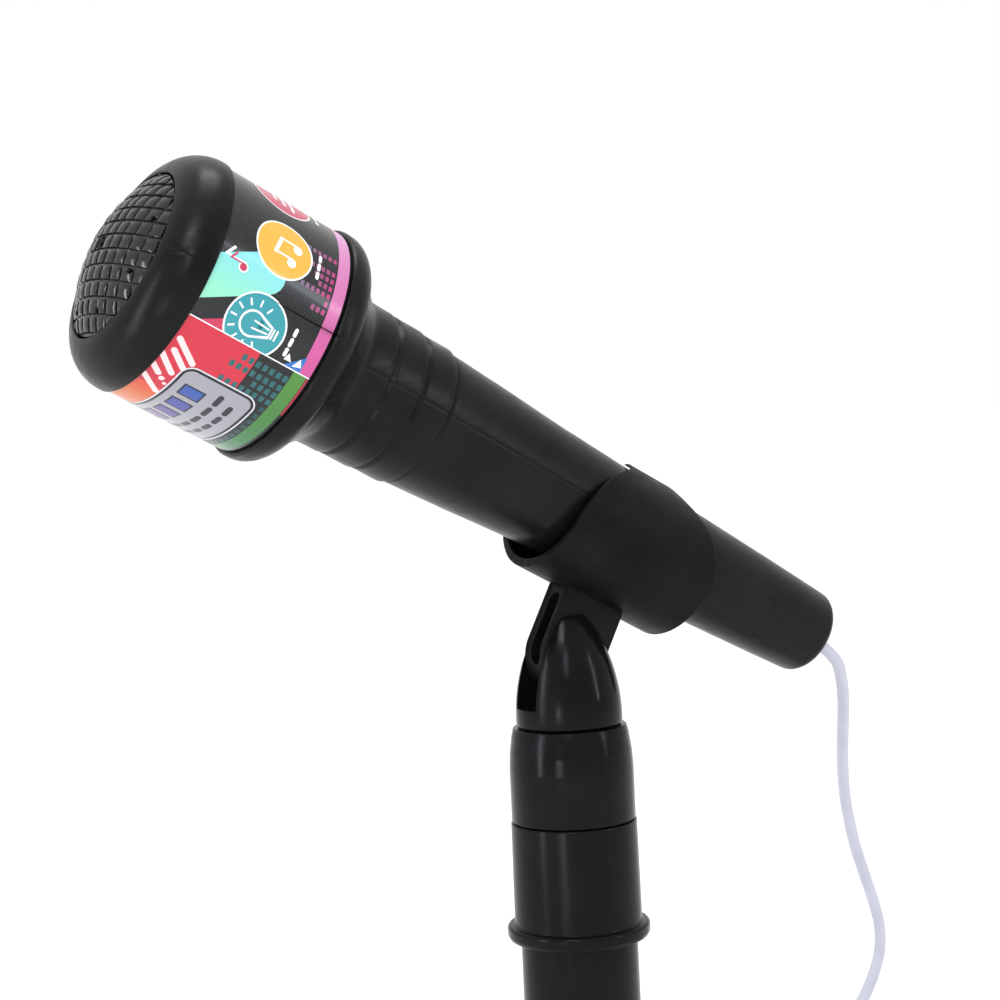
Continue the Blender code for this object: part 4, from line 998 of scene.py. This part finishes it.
def make_tilt_screw():
    place = STAND @ Matrix.Translation((0, 0, PIN_HEIGHT)) @ SIDEWAYS
    seat = 7.5
    washer = turned(rounded([(3.2, seat, 0.1), (3.2, seat + 0.6, 0.2), (2.2, seat + 0.6, 0.1),
                             (2.2, seat, 0.1)], 3), 64)
    piece("tilt_washer", washer, place, "fork", "steel", "tilt_washer")
    head = seat + 0.9
    profile = [(0, head + 1.7), *arc((2.0, head + 0.7), 1.0, 90, 10, 8), (3.1, head + 0.4),
               (3.1, head), (1.9, head), (1.9, -7.0), (1.6, -7.2), (0, -7.2)]
    screw = combined(turned(profile, 64, closed=False), cross_slot(3.6, 0.8, head + 1.7, 1.1))
    piece("tilt_screw", screw, place, "fork", "steel", "tilt_screw")


make_fork()
make_tilt_screw()


# ================================================================ stand
def make_collars():
    upper = rounded([
        (13.55, 110.3, 0.35), (14.05, 108.3, 3), (14.6, 104.3, 6), (14.85, 100.3, 8),
        (14.85, 87.9, 0.3), (12.25, 87.9, 0.1), (12.25, 80.9, 0.4), (10.35, 80.9, 0.2),
        (10.35, 102.3, 0.8), (7.3, 102.3, 0.2), (7.3, 110.3, 0.3)], 6)
    piece("collar_upper", turned(upper, 128), STAND, "stand", "stand_plastic", "collar_upper")
    lower = rounded([
        (15.05, 87.6, 0.4), (15.3, 63.0, 0.5), (17.1, 63.0, 0.9), (17.1, 60.6, 0.8),
        (16.6, 59.6, 0.4),
        (14.3, 59.6, 0.2), (14.3, 74.6, 0.2), (12.4, 74.6, 0.2), (12.4, 87.6, 0.3)], 6)
    piece("collar_lower", turned(lower, 128), STAND, "stand", "stand_plastic", "collar_lower")
    outside, bore, top = 14.0, 12.4, 74.3
    tube = rounded([(outside, top, 0.4), (outside, 0.0, 0.3), (bore, 0.0, 0.3),
                    (bore, top, 0.4)], 4)
    piece("stand_tube", turned(tube, 128), STAND, "stand", "stand_plastic", "stand_tube")


make_collars()


# ================================================================ floor and light
def make_floor():
    bm = bmesh.new()
    bmesh.ops.create_circle(bm, cap_ends=True, segments=96, radius=9.0)
    floor = as_object(bm, "floor")
    pale = Finish("pale_floor", specular_ior_level=0.1, emission_color=(1, 1, 1, 1),
                  emission_strength=0.1)
    tone = pale.noise(3, 2)
    pale.surface(base_color=pale.blend(tone, rgb(0.955, 0.955, 0.955), rgb(0.975, 0.975, 0.975)),
                 roughness=pale.between(tone, 0, 1, 0.8, 0.9))
    floor.data.materials.append(pale.material)
    floor.location.z = -0.0002


def soft_light(name, at, towards, width, height, power, color=(1, 1, 1)):
    data = bpy.data.lights.new(name, "AREA")
    data.shape = "RECTANGLE"
    data.size, data.size_y = width, height
    data.energy = power
    data.color = color
    light = bpy.data.objects.new(name, data)
    light.location = at
    light.rotation_euler = (Vector(towards) - Vector(at)).to_track_quat("-Z", "Y").to_euler()
    bpy.context.scene.collection.objects.link(light)


def make_light():
    bpy.context.scene.view_settings.view_transform = "Standard"
    world = bpy.data.worlds.new("studio")
    world.use_nodes = True
    sky = world.node_tree.nodes["Background"].inputs
    sky["Color"].default_value = (1, 1, 1, 1)
    sky["Strength"].default_value = 1.0
    bpy.context.scene.world = world
    middle = (0, 0, 0.16)
    soft_light("key", (-0.55, -0.45, 1.05), middle, 0.30, 0.30, 3.0)
    soft_light("left_strip", (-1.1, 0.05, 0.25), middle, 0.14, 0.9, 4.5, (0.90, 0.95, 1.0))
    soft_light("right_strip", (0.62, -0.85, 0.42), middle, 0.10, 0.5, 1.6, (0.86, 0.93, 1.0))
    soft_light("top", (0.15, 0.25, 1.2), middle, 0.45, 0.45, 3.0)
    soft_light("low_left", (-1.0, -0.7, 0.02), middle, 0.22, 0.20, 1.6)
    soft_light("front_soft", (-0.55, -0.78, 0.72), middle, 0.16, 0.30, 1.2, (0.84, 0.92, 1.0))


make_floor()
make_light()
